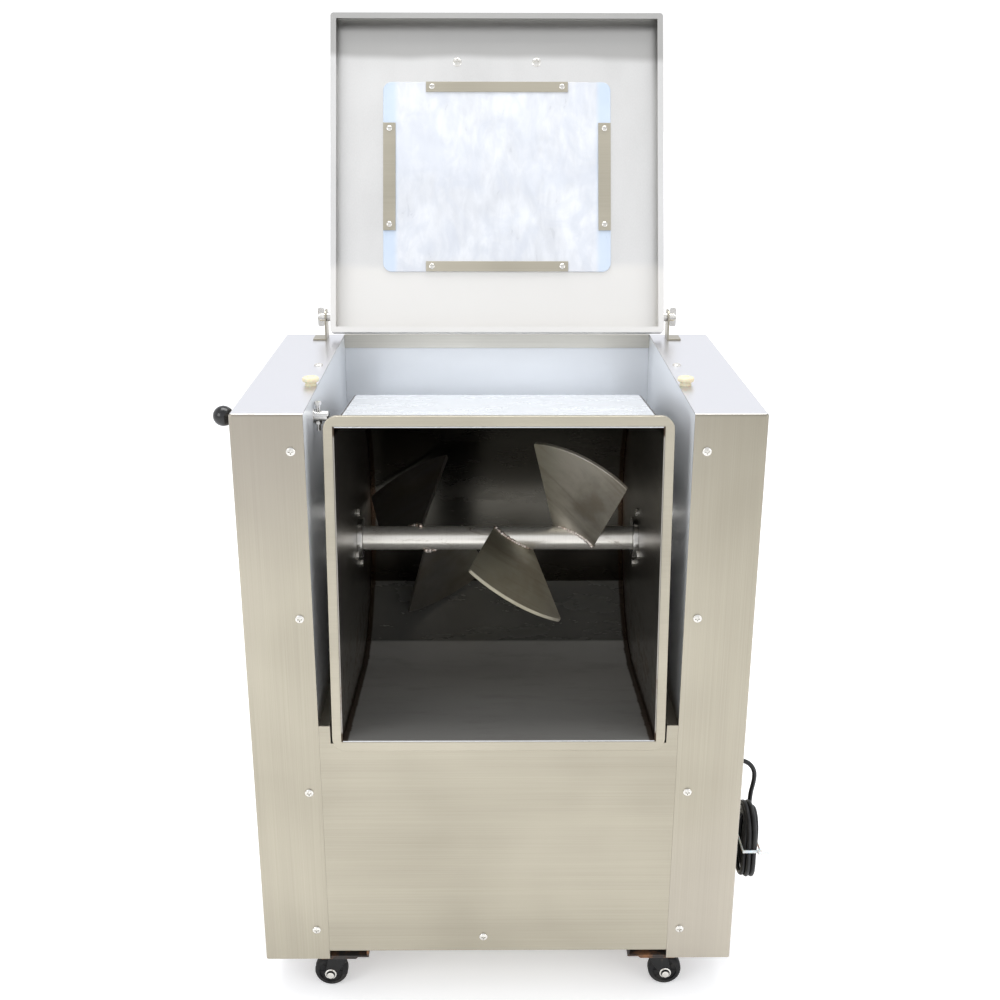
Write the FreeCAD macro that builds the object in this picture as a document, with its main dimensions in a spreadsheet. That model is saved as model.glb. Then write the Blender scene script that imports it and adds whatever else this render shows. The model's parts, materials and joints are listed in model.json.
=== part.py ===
import FreeCAD, Part
import Sketcher
import math
import os
import re
from FreeCAD import Placement, Rotation, Vector

# Tilting-tub meat mixer, in millimetres. X is to the right, Y to the back, Z up from the floor.
# The origin is on the floor below the centre of the cabinet. The tub is drawn upright about its own axis
# and the lid closed about its own pivot, and their placements turn them to the rest pose.

doc = FreeCAD.newDocument("meat_mixer")

# Driving sizes

SIZES = {
    # Cabinet
    "machine_width": 690, "machine_depth": 496, "top_height": 906, "tower_width": 95, "tower_foot": 68,
    "cover_sheet": 1.5, "plate_sheet": 2, "bend_radius": 4, "side_plate": 2,
    "panel_foot": 83, "ledge_height": 46, "ledge_width": 16, "notch_height": 19, "panel_lip": 12,
    "deck_height": 412, "rail_height": 22, "rail_depth": 5,
    "channel_in": 57, "channel_out": 50, "channel_base": 66, "channel_sheet": 3, "channel_rise": 15,
    "channel_inset": 5,
    # Tilting axis, tub and its bearings
    "axis_back": 8, "axis_height": 640, "tub_tilt": 84, "tub_gap": 35, "tub_radius": 216, "tub_sheet": 2,
    "tub_rise": 265, "rim_end": 12.5, "rim_side": 14, "rim_thick": 10, "rim_corner": 18,
    "trunnion_disc": 63, "trunnion_thick": 6, "sleeve_radius": 25, "sleeve_past": 12, "running_gap": 0.05,
    "housing_depth": 22, "housing_radius": 72, "housing_flange": 6, "housing_ring": 57, "housing_nose": 42,
    "housing_nose_depth": 5, "housing_bolt_circle": 64.5, "bolt_head": 6.5, "bolt_head_height": 5,
    "collar_radius": 29.5, "collar_thick": 8, "collar_bolt_circle": 47, "hole_gap": 1,
    # Mixing shaft and paddles
    "shaft_radius": 18, "journal_radius": 15, "journal_past": 6, "journal_reach": 52, "end_gap": 0.3,
    "paddle_foot": 34, "paddle_shoulder": 76, "paddle_shoulder_reach": 186, "paddle_reach": 208,
    "paddle_thick": 5, "paddle_twist": 58, "paddle_corner": 5,
    # Chain drive
    "chain_pitch": 15.875, "roller_radius": 5.1, "shaft_teeth": 30, "output_teeth": 15, "sprocket_inset": 38,
    "sprocket_thick": 8, "sprocket_hub": 24, "sprocket_hub_length": 22, "tooth_rise": 4.6,
    "chain_clear": 0.6, "chain_thick": 9, "chain_width": 14,
    "output_height": 190, "output_radius": 12.5, "output_gap": 14,
    "gearbox_width": 120, "gearbox_depth": 150, "boss_length": 4, "gearbox_corner": 14, "gearbox_boss": 38,
    "motor_radius": 64, "motor_length": 200, "motor_foot_width": 110, "motor_cap": 24,
    # Lid
    "lid_pivot_back": 214, "lid_pivot_rise": 35, "lid_open": 110, "lid_overlap": 16, "lid_length": 512,
    "lid_rear": 27, "lid_drop": 17, "lid_depth": 26, "lid_sheet": 1.5, "lid_lip": 9, "lid_corner": 5,
    "window_length": 307, "window_width": 367, "window_start": 101, "window_thick": 3, "window_corner": 14,
    "opening_length": 268, "opening_width": 325, "strip_long": 229, "strip_long_width": 16.4,
    "strip_short": 174, "strip_short_width": 20, "strip_thick": 2, "strip_screw": 4.5,
    "strip_screw_inset": 9.5,
    "handle_reach": 441, "handle_span": 128, "handle_rise": 42, "handle_radius": 6, "handle_bend": 16,
    "handle_screw": 7,
    # Lid hinge
    "ear_gap": 7, "ear_sheet": 2.5, "ear_width": 30, "ear_top": 12, "ear_foot_width": 22,
    "hinge_pin": 4, "hinge_head": 7, "hinge_head_thick": 3, "wing_root": 6.5, "wing_length": 9,
    "wing_span": 15, "wing_thick": 3,
    # Fasteners and bumpers of the casing
    "screw_head": 6, "screw_height": 3, "screw_inset": 17.5, "screw_foot": 52, "screw_top": 50,
    "panel_screw_across": -22, "panel_screw_height": 107,
    "rivet_head": 6.5, "rivet_height": 3, "rivet_inset": 14, "rivet_back": 23,
    "bumper_inset": 9.5, "bumper_back": -96, "bumper_radius": 11.5, "bumper_neck": 8,
    "bumper_neck_height": 5, "bumper_disc_height": 7,
    # Lock bolt of the tub
    "lock_back": -148, "lock_drop": 30, "lock_radius": 7, "lock_reach": 20.5, "lock_tail": 19,
    "ball_out": 27, "ball_radius": 14.2, "bush_wall": 3, "bush_length": 14, "bush_proud": 0.8,
    "bush_flange": 3, "cross_bolt_in": 6, "cross_bolt_radius": 3, "cross_bolt_half": 20, "cross_head": 4.9,
    "cross_head_height": 4,
    # Casters
    "wheel_radius": 25, "wheel_width": 20, "wheel_round": 4, "wheel_outset": 3, "wheel_inset": 33,
    "caster_trail": 15, "caster_plate": 56, "caster_plate_thick": 3, "race_radius": 18, "race_height": 3,
    "swivel_gap": 0.3, "fork_crown": 18, "fork_taper": 2, "fork_gap": 2, "fork_leg": 2.5,
    "fork_eye": 9, "fork_clear": 3, "axle_radius": 4, "axle_head": 6.5, "axle_head_height": 4,
    "hub_recess": 2.5, "hub_radius": 9,
    "tread_radius": 18,
    # Switch
    "switch_back": -40, "switch_height": 770, "switch_plate": 62, "switch_plate_thick": 3, "knob_radius": 20,
    "knob_base": 8, "knob_grip": 16, "knob_grip_width": 9, "knob_gap": 0.3,
    # Power cord
    "cord_radius": 3.5, "gland_back": -125, "gland_height": 330, "gland_radius": 11, "gland_hex": 14,
    "gland_hex_length": 5, "gland_length": 12, "hank_out": 35, "hank_back": -148, "hank_low": 146,
    "hank_top": 270, "hank_width": 80, "hank_thick": 24, "tie_width": 4.8, "tie_thick": 1.4, "tie_low": 209,
    "tie_gap": 0.2, "tie_tail": 26, "plug_width": 26, "plug_depth": 21.5, "plug_height": 40, "plug_pin": 2.4,
    "plug_pin_length": 17, "plug_pin_spread": 13, "plug_low": 160, "plug_back": -139,
}

# Heights of the casing screws, as shares of the way from the lowest to the highest
SCREW_SHARES = (0, 0.3152, 0.6807, 1)
# Each paddle: place along the shaft as a share of the tub's half length, then its angle from the front
PADDLES = ((-0.681, 168), (-0.385, 228), (0.108, -5), (0.545, 54))
SIDES = (("left", -1), ("right", 1))
# Points of the lead between the gland and the hank, each from the gland's mouth
LEAD_POINTS = ((0, 0, 0), (14, 0, 0), (26, 0, -7), (33, 1, -19), (34.5, 4, -34), (33.5, 8, -50),
               (32, 12, -66), (31.5, 13, -82))

sheet = doc.addObject("Spreadsheet::Sheet", "sizes")
for row, (alias, amount) in enumerate(SIZES.items(), 1):
    sheet.set("A%d" % row, alias)
    sheet.set("B%d" % row, str(amount))
    sheet.setAlias("B%d" % row, alias)
doc.recompute()

nodes = []


# Working with the sheet

def linked(text):
    """The same formula with every size name pointing into the sheet."""
    return re.sub(r"[a-z][a-z_0-9]*", lambda m: "sizes." + m.group(0) if m.group(0) in SIZES else m.group(0),
                  str(text))


def value(text):
    return float(sheet.evalExpression(linked(text)))


def bind(item, prop, text):
    item.setExpression(prop, linked(text))


def place(item, x=0, y=0, z=0):
    for letter, text in (("x", x), ("y", y), ("z", z)):
        bind(item, "Placement.Base." + letter, text)
    return item


def node(item, label):
    """Marks a finished sub-part and gives it the name of its file."""
    item.Label = label
    nodes.append(item)
    return item


# Solids made of primitives

TURNS = {
    "+X": Rotation(Vector(0, 1, 0), 90), "-X": Rotation(Vector(0, 1, 0), -90),
    "+Y": Rotation(Vector(1, 0, 0), -90), "-Y": Rotation(Vector(1, 0, 0), 90),
    "+Z": Rotation(), "-Z": Rotation(Vector(1, 0, 0), 180),
}


def box(x0, x1, y0, y1, z0, z1):
    item = doc.addObject("Part::Box", "block")
    for prop, low, high in (("Length", x0, x1), ("Width", y0, y1), ("Height", z0, z1)):
        bind(item, prop, "(%s) - (%s)" % (high, low))
    return place(item, x0, y0, z0)


def rod(radius, length, x=0, y=0, z=0, along="+Z"):
    item = doc.addObject("Part::Cylinder", "rod")
    bind(item, "Radius", radius)
    bind(item, "Height", length)
    item.Placement = Placement(Vector(), TURNS[along])
    return place(item, x, y, z)


def hexagon(radius, length, x=0, y=0, z=0, along="+Z"):
    item = doc.addObject("Part::Prism", "hexagon")
    item.Polygon = 6
    bind(item, "Circumradius", radius)
    bind(item, "Height", length)
    item.Placement = Placement(Vector(), TURNS[along])
    return place(item, x, y, z)


def fuse(*items):
    item = doc.addObject("Part::MultiFuse", "joined")
    item.Shapes = list(items)
    item.Refine = True
    return item


def cut(base, *tools):
    item = doc.addObject("Part::Cut", "cut")
    item.Base = base
    item.Tool = tools[0] if len(tools) == 1 else fuse(*tools)
    return item


def group(items):
    item = doc.addObject("Part::Compound", "group")
    item.Links = list(items)
    return item


def rounded(base, radius, chosen):
    """Rounds the edges of base that the test picks, each told by its middle and its direction."""
    doc.recompute()
    size = value(radius)
    picked = []
    for number, edge in enumerate(base.Shape.Edges, 1):
        middle = edge.valueAt((edge.FirstParameter + edge.LastParameter) / 2)
        if chosen(edge, middle):
            picked.append((number, size, size))
    item = doc.addObject("Part::Fillet", "rounded")
    item.Base = base
    item.Edges = picked
    return item


def runs_along(edge, axis):
    return edge.Curve.TypeId == "Part::GeomLine" and abs(edge.Curve.Direction.dot(axis)) > 0.99


def is_circle(edge, radius):
    return edge.Curve.TypeId == "Part::GeomCircle" and abs(edge.Curve.Radius - value(radius)) < 0.01


# Solids made of sketches

def profile(body, plane, points, arcs=None, circles=()):
    """A closed outline bound to the sheet; arcs maps a side's number to its radius and a point it passes."""
    arcs = arcs or {}
    sketch = body.newObject("Sketcher::SketchObject", "outline")
    sketch.AttachmentSupport = [(next(o for o in body.Origin.OriginFeatures if o.Role == plane), "")]
    sketch.MapMode = "FlatFace"
    spots = [Vector(value(u), value(v), 0) for u, v in points]
    ends = []
    for i, start in enumerate(spots):
        finish = spots[(i + 1) % len(spots)]
        if i in arcs:
            through = Vector(value(arcs[i][1][0]), value(arcs[i][1][1]), 0)
            curve = Part.Arc(start, through, finish).toShape().Curve
            first, last = curve.parameter(start), curve.parameter(finish)
            forward = (last - first) % (2 * math.pi) >= (curve.parameter(through) - first) % (2 * math.pi)
            if forward:
                sketch.addGeometry(Part.ArcOfCircle(curve, first, last))
            else:
                sketch.addGeometry(Part.ArcOfCircle(curve, last, first))
            ends.append((1, 2) if forward else (2, 1))
        else:
            sketch.addGeometry(Part.LineSegment(start, finish))
            ends.append((1, 2))
    for i, (u, v) in enumerate(points):
        following = (i + 1) % len(points)
        sketch.addConstraint(Sketcher.Constraint("Coincident", i, ends[i][1], following, ends[following][0]))
    for i, (u, v) in enumerate(points):
        for kind, text in (("DistanceX", u), ("DistanceY", v)):
            number = sketch.addConstraint(Sketcher.Constraint(kind, -1, 1, i, ends[i][0], value(text)))
            sketch.setExpression("Constraints[%d]" % number, linked(text))
    for i, (radius, through) in arcs.items():
        number = sketch.addConstraint(Sketcher.Constraint("Radius", i, value(radius)))
        sketch.setExpression("Constraints[%d]" % number, linked(radius))
    add_circles(sketch, circles)
    return sketch


def add_circles(sketch, circles):
    for u, v, radius in circles:
        spot = Vector(value(u), value(v), 0)
        i = sketch.addGeometry(Part.Circle(spot, Vector(0, 0, 1), value(radius)))
        for kind, text in (("DistanceX", u), ("DistanceY", v)):
            number = sketch.addConstraint(Sketcher.Constraint(kind, -1, 1, i, 3, value(text)))
            sketch.setExpression("Constraints[%d]" % number, linked(text))
        number = sketch.addConstraint(Sketcher.Constraint("Radius", i, value(radius)))
        sketch.setExpression("Constraints[%d]" % number, linked(radius))


def ring_sketch(body, plane, circles):
    sketch = body.newObject("Sketcher::SketchObject", "circles")
    sketch.AttachmentSupport = [(next(o for o in body.Origin.OriginFeatures if o.Role == plane), "")]
    sketch.MapMode = "FlatFace"
    add_circles(sketch, circles)
    return sketch


def pad(body, sketch, length, midplane=False, reverse=False):
    feature = body.newObject("PartDesign::Pad", "pad")
    feature.Profile = sketch
    bind(feature, "Length", length)
    feature.Midplane = midplane
    feature.Reversed = reverse
    return feature


def pocket(body, sketch, length, midplane=False, reverse=False):
    feature = body.newObject("PartDesign::Pocket", "pocket")
    feature.Profile = sketch
    bind(feature, "Length", length)
    feature.Midplane = midplane
    feature.Reversed = reverse
    return feature


def new_body():
    return doc.addObject("PartDesign::Body", "body")


# Places that several pieces share

HALF_WIDTH = "machine_width / 2"
HALF_DEPTH = "machine_depth / 2"
TOWER_FACE = "(machine_width / 2 - tower_width)"
INSIDE_DEPTH = "(machine_depth / 2 - cover_sheet)"
# The ledges and the notch in the front panel are measured up from the deck
LEDGE_TOP = "(deck_height + ledge_height)"
NOTCH_TOP = "(deck_height + notch_height)"
TUB_END = "(machine_width / 2 - tower_width - tub_gap)"
TUB_INNER_END = "(machine_width / 2 - tower_width - tub_gap - tub_sheet)"
SLEEVE_END = "(machine_width / 2 - tower_width + sleeve_past)"
JOURNAL_LEFT = "(machine_width / 2 - tower_width + journal_past)"
JOURNAL_RIGHT = "(machine_width / 2 - tower_width + journal_reach)"
SPROCKET_PLANE = "(machine_width / 2 - tower_width + sprocket_inset)"
OUTPUT_START = "(machine_width / 2 - tower_width - output_gap)"
GEARBOX_RIGHT = "(machine_width / 2 - tower_width - output_gap - boss_length)"
GEARBOX_LEFT = "(machine_width / 2 - tower_width - output_gap - boss_length - gearbox_width)"
TUB_OUTER = "(tub_radius + tub_sheet)"
HALF_LID = "(machine_width / 2 - tower_width + lid_overlap)"
EAR_INNER = "(machine_width / 2 - tower_width + lid_overlap + ear_gap)"
PIVOT_HEIGHT = "(top_height + lid_pivot_rise)"
LID_BACK = "lid_rear"
LID_FRONT = "(lid_rear - lid_length)"
LID_TOP = "(lid_depth - lid_drop)"
LID_INNER = "(lid_depth - lid_drop - lid_sheet)"
BUSH_RADIUS = "(lock_radius + running_gap + bush_wall)"
LOCK_HEIGHT = "(top_height - lock_drop)"
LOCK_NOSE = "(machine_width / 2 - tower_width - lock_reach)"
LOCK_TAIL = "(machine_width / 2 + lock_tail)"
HANK_MIDDLE = "(machine_width / 2 + hank_out)"
CHANNEL_TOP = "(channel_base + channel_rise)"


def mirrored(side, low, high):
    """The same span on the left or on the right of the middle plane."""
    return (low, high) if side > 0 else ("-(%s)" % high, "-(%s)" % low)


def across(side, text):
    return text if side > 0 else "-(%s)" % text


def outward(side):
    return "+X" if side > 0 else "-X"


def inward(side):
    return "-X" if side > 0 else "+X"


# Cabinet

def tower_cover(name, side, holes):
    x0, x1 = mirrored(side, TOWER_FACE, HALF_WIDTH)
    shell = box(x0, x1, "-" + HALF_DEPTH, HALF_DEPTH, "tower_foot", "top_height")
    outer = side * value(HALF_WIDTH)

    def folded(edge, middle):
        at_top = abs(middle.z - value("top_height")) < 0.01
        upright = runs_along(edge, Vector(0, 0, 1)) and abs(middle.x - outer) < 0.01
        return upright or (at_top and abs(middle.x - side * value(TOWER_FACE)) > 0.01)

    shell = rounded(shell, "bend_radius", folded)
    i0, i1 = mirrored(side, TOWER_FACE + " - 1", HALF_WIDTH + " - cover_sheet")
    hollow = box(i0, i1, "-" + INSIDE_DEPTH, INSIDE_DEPTH, "tower_foot - 1", "top_height - cover_sheet")
    return node(cut(shell, hollow, *holes), "tower_cover_" + name)


def wall_hole(side, radius, y, z):
    """A tool that goes through a tower's outer wall."""
    return rod(radius, "cover_sheet + 4", across(side, HALF_WIDTH + " + 2"), y, z, inward(side))


def side_hole(side, radius, y, z):
    """A tool that goes through a tower's inner plate."""
    return rod(radius, "side_plate + 4", across(side, TOWER_FACE + " - 2"), y, z, outward(side))


def inner_plate(name, side, holes):
    x0, x1 = mirrored(side, TOWER_FACE, TOWER_FACE + " + side_plate")
    plate = box(x0, x1, "-" + INSIDE_DEPTH, INSIDE_DEPTH, "channel_base + channel_sheet",
                "top_height - cover_sheet")
    sleeve = side_hole(side, "sleeve_radius + hole_gap", "axis_back", "axis_height")
    return node(cut(plate, sleeve, *holes), "inner_plate_" + name)


def front_panel():
    body = new_body()
    edge = "(%s - ledge_width)" % TOWER_FACE
    outline = [("-" + TOWER_FACE, "panel_foot"), (TOWER_FACE, "panel_foot"), (TOWER_FACE, LEDGE_TOP),
               (edge, LEDGE_TOP), (edge, NOTCH_TOP), ("-" + edge, NOTCH_TOP),
               ("-" + edge, LEDGE_TOP), ("-" + TOWER_FACE, LEDGE_TOP)]
    pad(body, profile(body, "XZ_Plane", outline), "cover_sheet")
    lip = [("-" + edge, NOTCH_TOP + " - cover_sheet"), (edge, NOTCH_TOP + " - cover_sheet"),
           (edge, NOTCH_TOP), ("-" + edge, NOTCH_TOP)]
    pad(body, profile(body, "XZ_Plane", lip), "panel_lip", reverse=True)
    place(body, 0, "-" + INSIDE_DEPTH, 0)
    return node(body, "front_panel")


def rear_panel():
    return node(box("-" + TOWER_FACE, TOWER_FACE, INSIDE_DEPTH, HALF_DEPTH, "panel_foot",
                    "top_height - rail_height"), "rear_panel")


def rear_rail():
    outer = box("-" + TOWER_FACE, TOWER_FACE, HALF_DEPTH + " - rail_depth", HALF_DEPTH,
                "top_height - rail_height", "top_height")
    hollow = box("-" + TOWER_FACE, TOWER_FACE, HALF_DEPTH + " - rail_depth + cover_sheet",
                 INSIDE_DEPTH, "top_height - rail_height - 1", "top_height - cover_sheet")
    return node(cut(outer, hollow), "rear_rail")


def deck():
    node(box("-" + TOWER_FACE, TOWER_FACE, "-" + INSIDE_DEPTH, INSIDE_DEPTH,
             "deck_height - plate_sheet", "deck_height"), "deck_plate")
    rails = []
    for name, side in SIDES:
        body = new_body()
        wall = across(side, TOWER_FACE)
        lip = across(side, TOWER_FACE + " - ledge_width")
        lip_back = across(side, TOWER_FACE + " - ledge_width + cover_sheet")
        outline = [(wall, LEDGE_TOP), (lip, LEDGE_TOP), (lip, "deck_height"),
                   (lip_back, "deck_height"), (lip_back, LEDGE_TOP + " - cover_sheet"),
                   (wall, LEDGE_TOP + " - cover_sheet")]
        pad(body, profile(body, "XZ_Plane", outline), "2 * %s - rail_depth" % INSIDE_DEPTH)
        place(body, 0, INSIDE_DEPTH + " - rail_depth", 0)
        rails.append(body)
    node(group(rails), "deck_rails")


def base():
    node(box("-" + TOWER_FACE, TOWER_FACE, "-" + INSIDE_DEPTH, INSIDE_DEPTH, CHANNEL_TOP,
             "panel_foot"), "base_plate")
    channels = []
    for name, side in SIDES:
        body = new_body()
        inner = across(side, TOWER_FACE + " - channel_in")
        outer = across(side, TOWER_FACE + " + channel_out")
        inner_wall = across(side, TOWER_FACE + " - channel_in + channel_sheet")
        outer_wall = across(side, TOWER_FACE + " + channel_out - channel_sheet")
        web = "channel_base + channel_sheet"
        outline = [(inner, "channel_base"), (outer, "channel_base"), (outer, CHANNEL_TOP),
                   (outer_wall, CHANNEL_TOP), (outer_wall, web), (inner_wall, web),
                   (inner_wall, CHANNEL_TOP), (inner, CHANNEL_TOP)]
        pad(body, profile(body, "XZ_Plane", outline), "machine_depth - 2 * channel_inset")
        place(body, 0, HALF_DEPTH + " - channel_inset", 0)
        channels.append(body)
    node(group(channels), "base_channels")


def bearing_housings():
    housings, bolts = [], []
    for name, side in SIDES:
        face = across(side, TOWER_FACE)
        steps = [rod(radius, length, face, "axis_back", "axis_height", inward(side))
                 for radius, length in (("housing_radius", "housing_flange"),
                                        ("housing_ring", "housing_depth - housing_nose_depth"),
                                        ("housing_nose", "housing_depth"))]
        bore = rod("sleeve_radius + running_gap", "housing_depth + 4", across(side, TOWER_FACE + " + 2"),
                   "axis_back", "axis_height", inward(side))
        housings.append(cut(fuse(*steps), bore))
        seat = across(side, TOWER_FACE + " - housing_flange")
        bolts += bolt_ring(4, 45, "housing_bolt_circle", seat, inward(side), "axis_back", "axis_height")
    node(group(housings), "bearing_housings")
    node(group(bolts), "bearing_bolts")


def bolt_ring(count, first, circle, x, along, y="0", z="0"):
    """Hexagon heads on a circle round an axis along X."""
    return [hexagon("bolt_head", "bolt_head_height", x,
                    "%s + %s * cos(%g)" % (y, circle, first + i * 360 / count),
                    "%s + %s * sin(%g)" % (z, circle, first + i * 360 / count), along)
            for i in range(count)]


def pan_head(radius, height, x, y, z, along):
    head = rod(radius, height, x, y, z, along)
    size = value(height)
    centre = Vector(value(x), value(y), value(z)) + TURNS[along].multVec(Vector(0, 0, size))
    normal = TURNS[along].multVec(Vector(0, 0, 1))
    return rounded(head, "%s * 0.7" % height, lambda edge, middle: is_circle(edge, radius)
                   and abs((middle - centre).dot(normal)) < 0.01)


def casing_screws():
    front, back = "-" + HALF_DEPTH, HALF_DEPTH
    heights = ["tower_foot + screw_foot + %g * (top_height - screw_top - tower_foot - screw_foot)" % share
               for share in SCREW_SHARES]
    heads = [pan_head("screw_head", "screw_height", across(side, TOWER_FACE + " + screw_inset"), y, z, along)
             for y, along in ((front, "-Y"), (back, "+Y")) for name, side in SIDES for z in heights]
    heads.append(pan_head("screw_head", "screw_height", "panel_screw_across", front, "panel_screw_height",
                          "-Y"))
    node(group(heads), "casing_screws")


def top_fittings():
    rivets = [pan_head("rivet_head", "rivet_height", across(side, TOWER_FACE + " + rivet_inset"),
                       "rivet_back", "top_height", "+Z") for name, side in SIDES]
    node(group(rivets), "top_rivets")
    bumpers = []
    for name, side in SIDES:
        x = across(side, TOWER_FACE + " + bumper_inset")
        neck = rod("bumper_neck", "bumper_neck_height", x, "bumper_back", "top_height")
        disc = rod("bumper_radius", "bumper_disc_height", x, "bumper_back",
                   "top_height + bumper_neck_height")
        disc = rounded(disc, "bumper_disc_height * 0.3",
                       lambda edge, middle: is_circle(edge, "bumper_radius"))
        bumpers.append(fuse(neck, disc))
    node(group(bumpers), "lid_bumpers")


def cabinet():
    lock = ("lock_back", LOCK_HEIGHT)
    tower_cover("left", -1, [wall_hole(-1, BUSH_RADIUS, *lock)])
    tower_cover("right", 1, [wall_hole(1, "cord_radius + hole_gap", "gland_back", "gland_height")])
    inner_plate("left", -1, [side_hole(-1, BUSH_RADIUS, *lock)])
    inner_plate("right", 1, [side_hole(1, "output_radius + hole_gap", "axis_back", "output_height")])
    front_panel()
    rear_panel()
    rear_rail()
    deck()
    base()
    bearing_housings()
    casing_screws()
    top_fittings()


# Tub, drawn upright about the tilting axis

def tilted(item):
    item.Placement = Placement(Vector(), Rotation(Vector(1, 0, 0), 1))
    bind(item, "Placement.Rotation.Angle", "tub_tilt")
    return place(item, 0, "axis_back", "axis_height")


def trough_form(x0, x1, radius, top):
    """A solid with the tub's section: straight sides on a half round."""
    return fuse(box(x0, x1, "-(%s)" % radius, radius, "0", top),
                rod(radius, "(%s) - (%s)" % (x1, x0), x0, "0", "0", "+X"))


def tub():
    hollow = trough_form("-" + TUB_END, TUB_END, "tub_radius", "tub_rise + 1")
    trough = trough_form("-" + TUB_INNER_END, TUB_INNER_END, TUB_OUTER, "tub_rise")
    node(tilted(cut(trough, hollow)), "tub_trough")
    for name, side in SIDES:
        x0, x1 = mirrored(side, TUB_INNER_END, TUB_END)
        end = trough_form(x0, x1, TUB_OUTER, "tub_rise")
        hole = rod("journal_radius + hole_gap", "tub_sheet + 4", across(side, TUB_INNER_END + " - 2"), "0",
                   "0", outward(side))
        node(tilted(cut(end, hole)), "tub_end_" + name)
    node(tilted(rim()), "tub_rim")
    trunnions, collars, bolts = [], [], []
    for name, side in SIDES:
        disc = rod("trunnion_disc", "trunnion_thick", across(side, TUB_END), "0", "0", outward(side))
        sleeve = rod("sleeve_radius", SLEEVE_END + " - " + TUB_END, across(side, TUB_END), "0", "0",
                     outward(side))
        bore = rod("journal_radius + running_gap", SLEEVE_END, "0", "0", "0", outward(side))
        trunnions.append(cut(fuse(disc, sleeve), bore))
        collar = rod("collar_radius", "collar_thick", across(side, TUB_INNER_END), "0", "0", inward(side))
        bore = rod("journal_radius + running_gap", SLEEVE_END, "0", "0", "0", outward(side))
        collars.append(cut(collar, bore))
        bolts += bolt_ring(4, 20, "collar_bolt_circle", across(side, TUB_INNER_END), inward(side))
    node(tilted(group(trunnions)), "tub_trunnions")
    node(tilted(group(collars)), "seal_collars")
    node(tilted(group(bolts)), "seal_bolts")


def rim():
    half_x, half_y = TUB_END + " + rim_end", TUB_OUTER + " + rim_side"
    outer = box("-(%s)" % half_x, half_x, "-(%s)" % half_y, half_y, "tub_rise - rim_thick", "tub_rise")
    outer = rounded(outer, "rim_corner", lambda edge, middle: runs_along(edge, Vector(0, 0, 1)))
    inside = box("-" + TUB_END, TUB_END, "-" + TUB_OUTER, TUB_OUTER, "0", "tub_rise + 1")
    return cut(outer, inside)


# Mixing shaft

def on_axis(item):
    return place(item, 0, "axis_back", "axis_height")


def mixing_shaft():
    barrel = TUB_INNER_END + " - collar_thick - end_gap"
    tube = rod("shaft_radius", "2 * (%s)" % barrel, "-(%s)" % barrel, "0", "0", "+X")
    journal = rod("journal_radius", JOURNAL_LEFT + " + " + JOURNAL_RIGHT, "-" + JOURNAL_LEFT, "0", "0", "+X")
    node(on_axis(fuse(tube, journal)), "mixing_shaft")
    for number, (along, angle) in enumerate(PADDLES, 1):
        node(paddle(along, angle), "paddle_%d" % number)
    wheel = sprocket("shaft_teeth", "journal_radius", "shaft_teeth")
    node(place(wheel, SPROCKET_PLANE, "axis_back", "axis_height"), "shaft_sprocket")


def paddle(along, angle):
    """A flat blade with a round outer end, welded on edge across the shaft."""
    body = new_body()
    arc = ("(pow(paddle_shoulder; 2) + pow(paddle_reach - paddle_shoulder_reach; 2))"
           " / (2 * (paddle_reach - paddle_shoulder_reach))")
    outline = [("-paddle_foot", "0"), ("paddle_foot", "0"), ("paddle_shoulder", "paddle_shoulder_reach"),
               ("-paddle_shoulder", "paddle_shoulder_reach")]
    pad(body, profile(body, "XZ_Plane", outline, {2: (arc, ("0", "paddle_reach"))}), "paddle_thick",
        midplane=True)
    body = rounded(body, "paddle_corner",
                   lambda edge, middle: runs_along(edge, Vector(0, 1, 0)) and middle.z > 1)
    body.Placement = Placement(Vector(), Rotation(Vector(1, 0, 0), 90 - angle)
                               * Rotation(Vector(0, 0, 1), value("paddle_twist") - 90))
    place(body, "%g * %s" % (along, TUB_INNER_END), 0, 0)
    return on_axis(cut(body, rod("shaft_radius", "2 * " + TUB_END, "-" + TUB_END, "0", "0", "+X")))


def pitch_radius(teeth):
    return "(chain_pitch / (2 * sin(180 / %s)))" % teeth


def sprocket(teeth, bore, count):
    """A chain wheel about X: a disc with round seats for the rollers, and a hub."""
    body = new_body()
    tip = pitch_radius(teeth) + " + tooth_rise"
    pad(body, ring_sketch(body, "YZ_Plane", [("0", "0", tip)]), "sprocket_thick", midplane=True)
    pad(body, ring_sketch(body, "YZ_Plane", [("0", "0", "sprocket_hub")]), "sprocket_hub_length",
        midplane=True)
    doc.recompute()
    seat = pocket(body, ring_sketch(body, "YZ_Plane", [(pitch_radius(teeth), "0", "roller_radius")]),
                  "sprocket_thick + 2", midplane=True)
    doc.recompute()
    ring = body.newObject("PartDesign::PolarPattern", "seats")
    ring.Originals = [seat]
    ring.Axis = (next(o for o in body.Origin.OriginFeatures if o.Role == "X_Axis"), [""])
    ring.Angle = 360
    bind(ring, "Occurrences", count)
    body.Tip = ring
    return cut(body, rod(bore, "sprocket_hub_length + 4", "-sprocket_hub_length / 2 - 2", "0", "0", "+X"))


# Drive in the base

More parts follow.
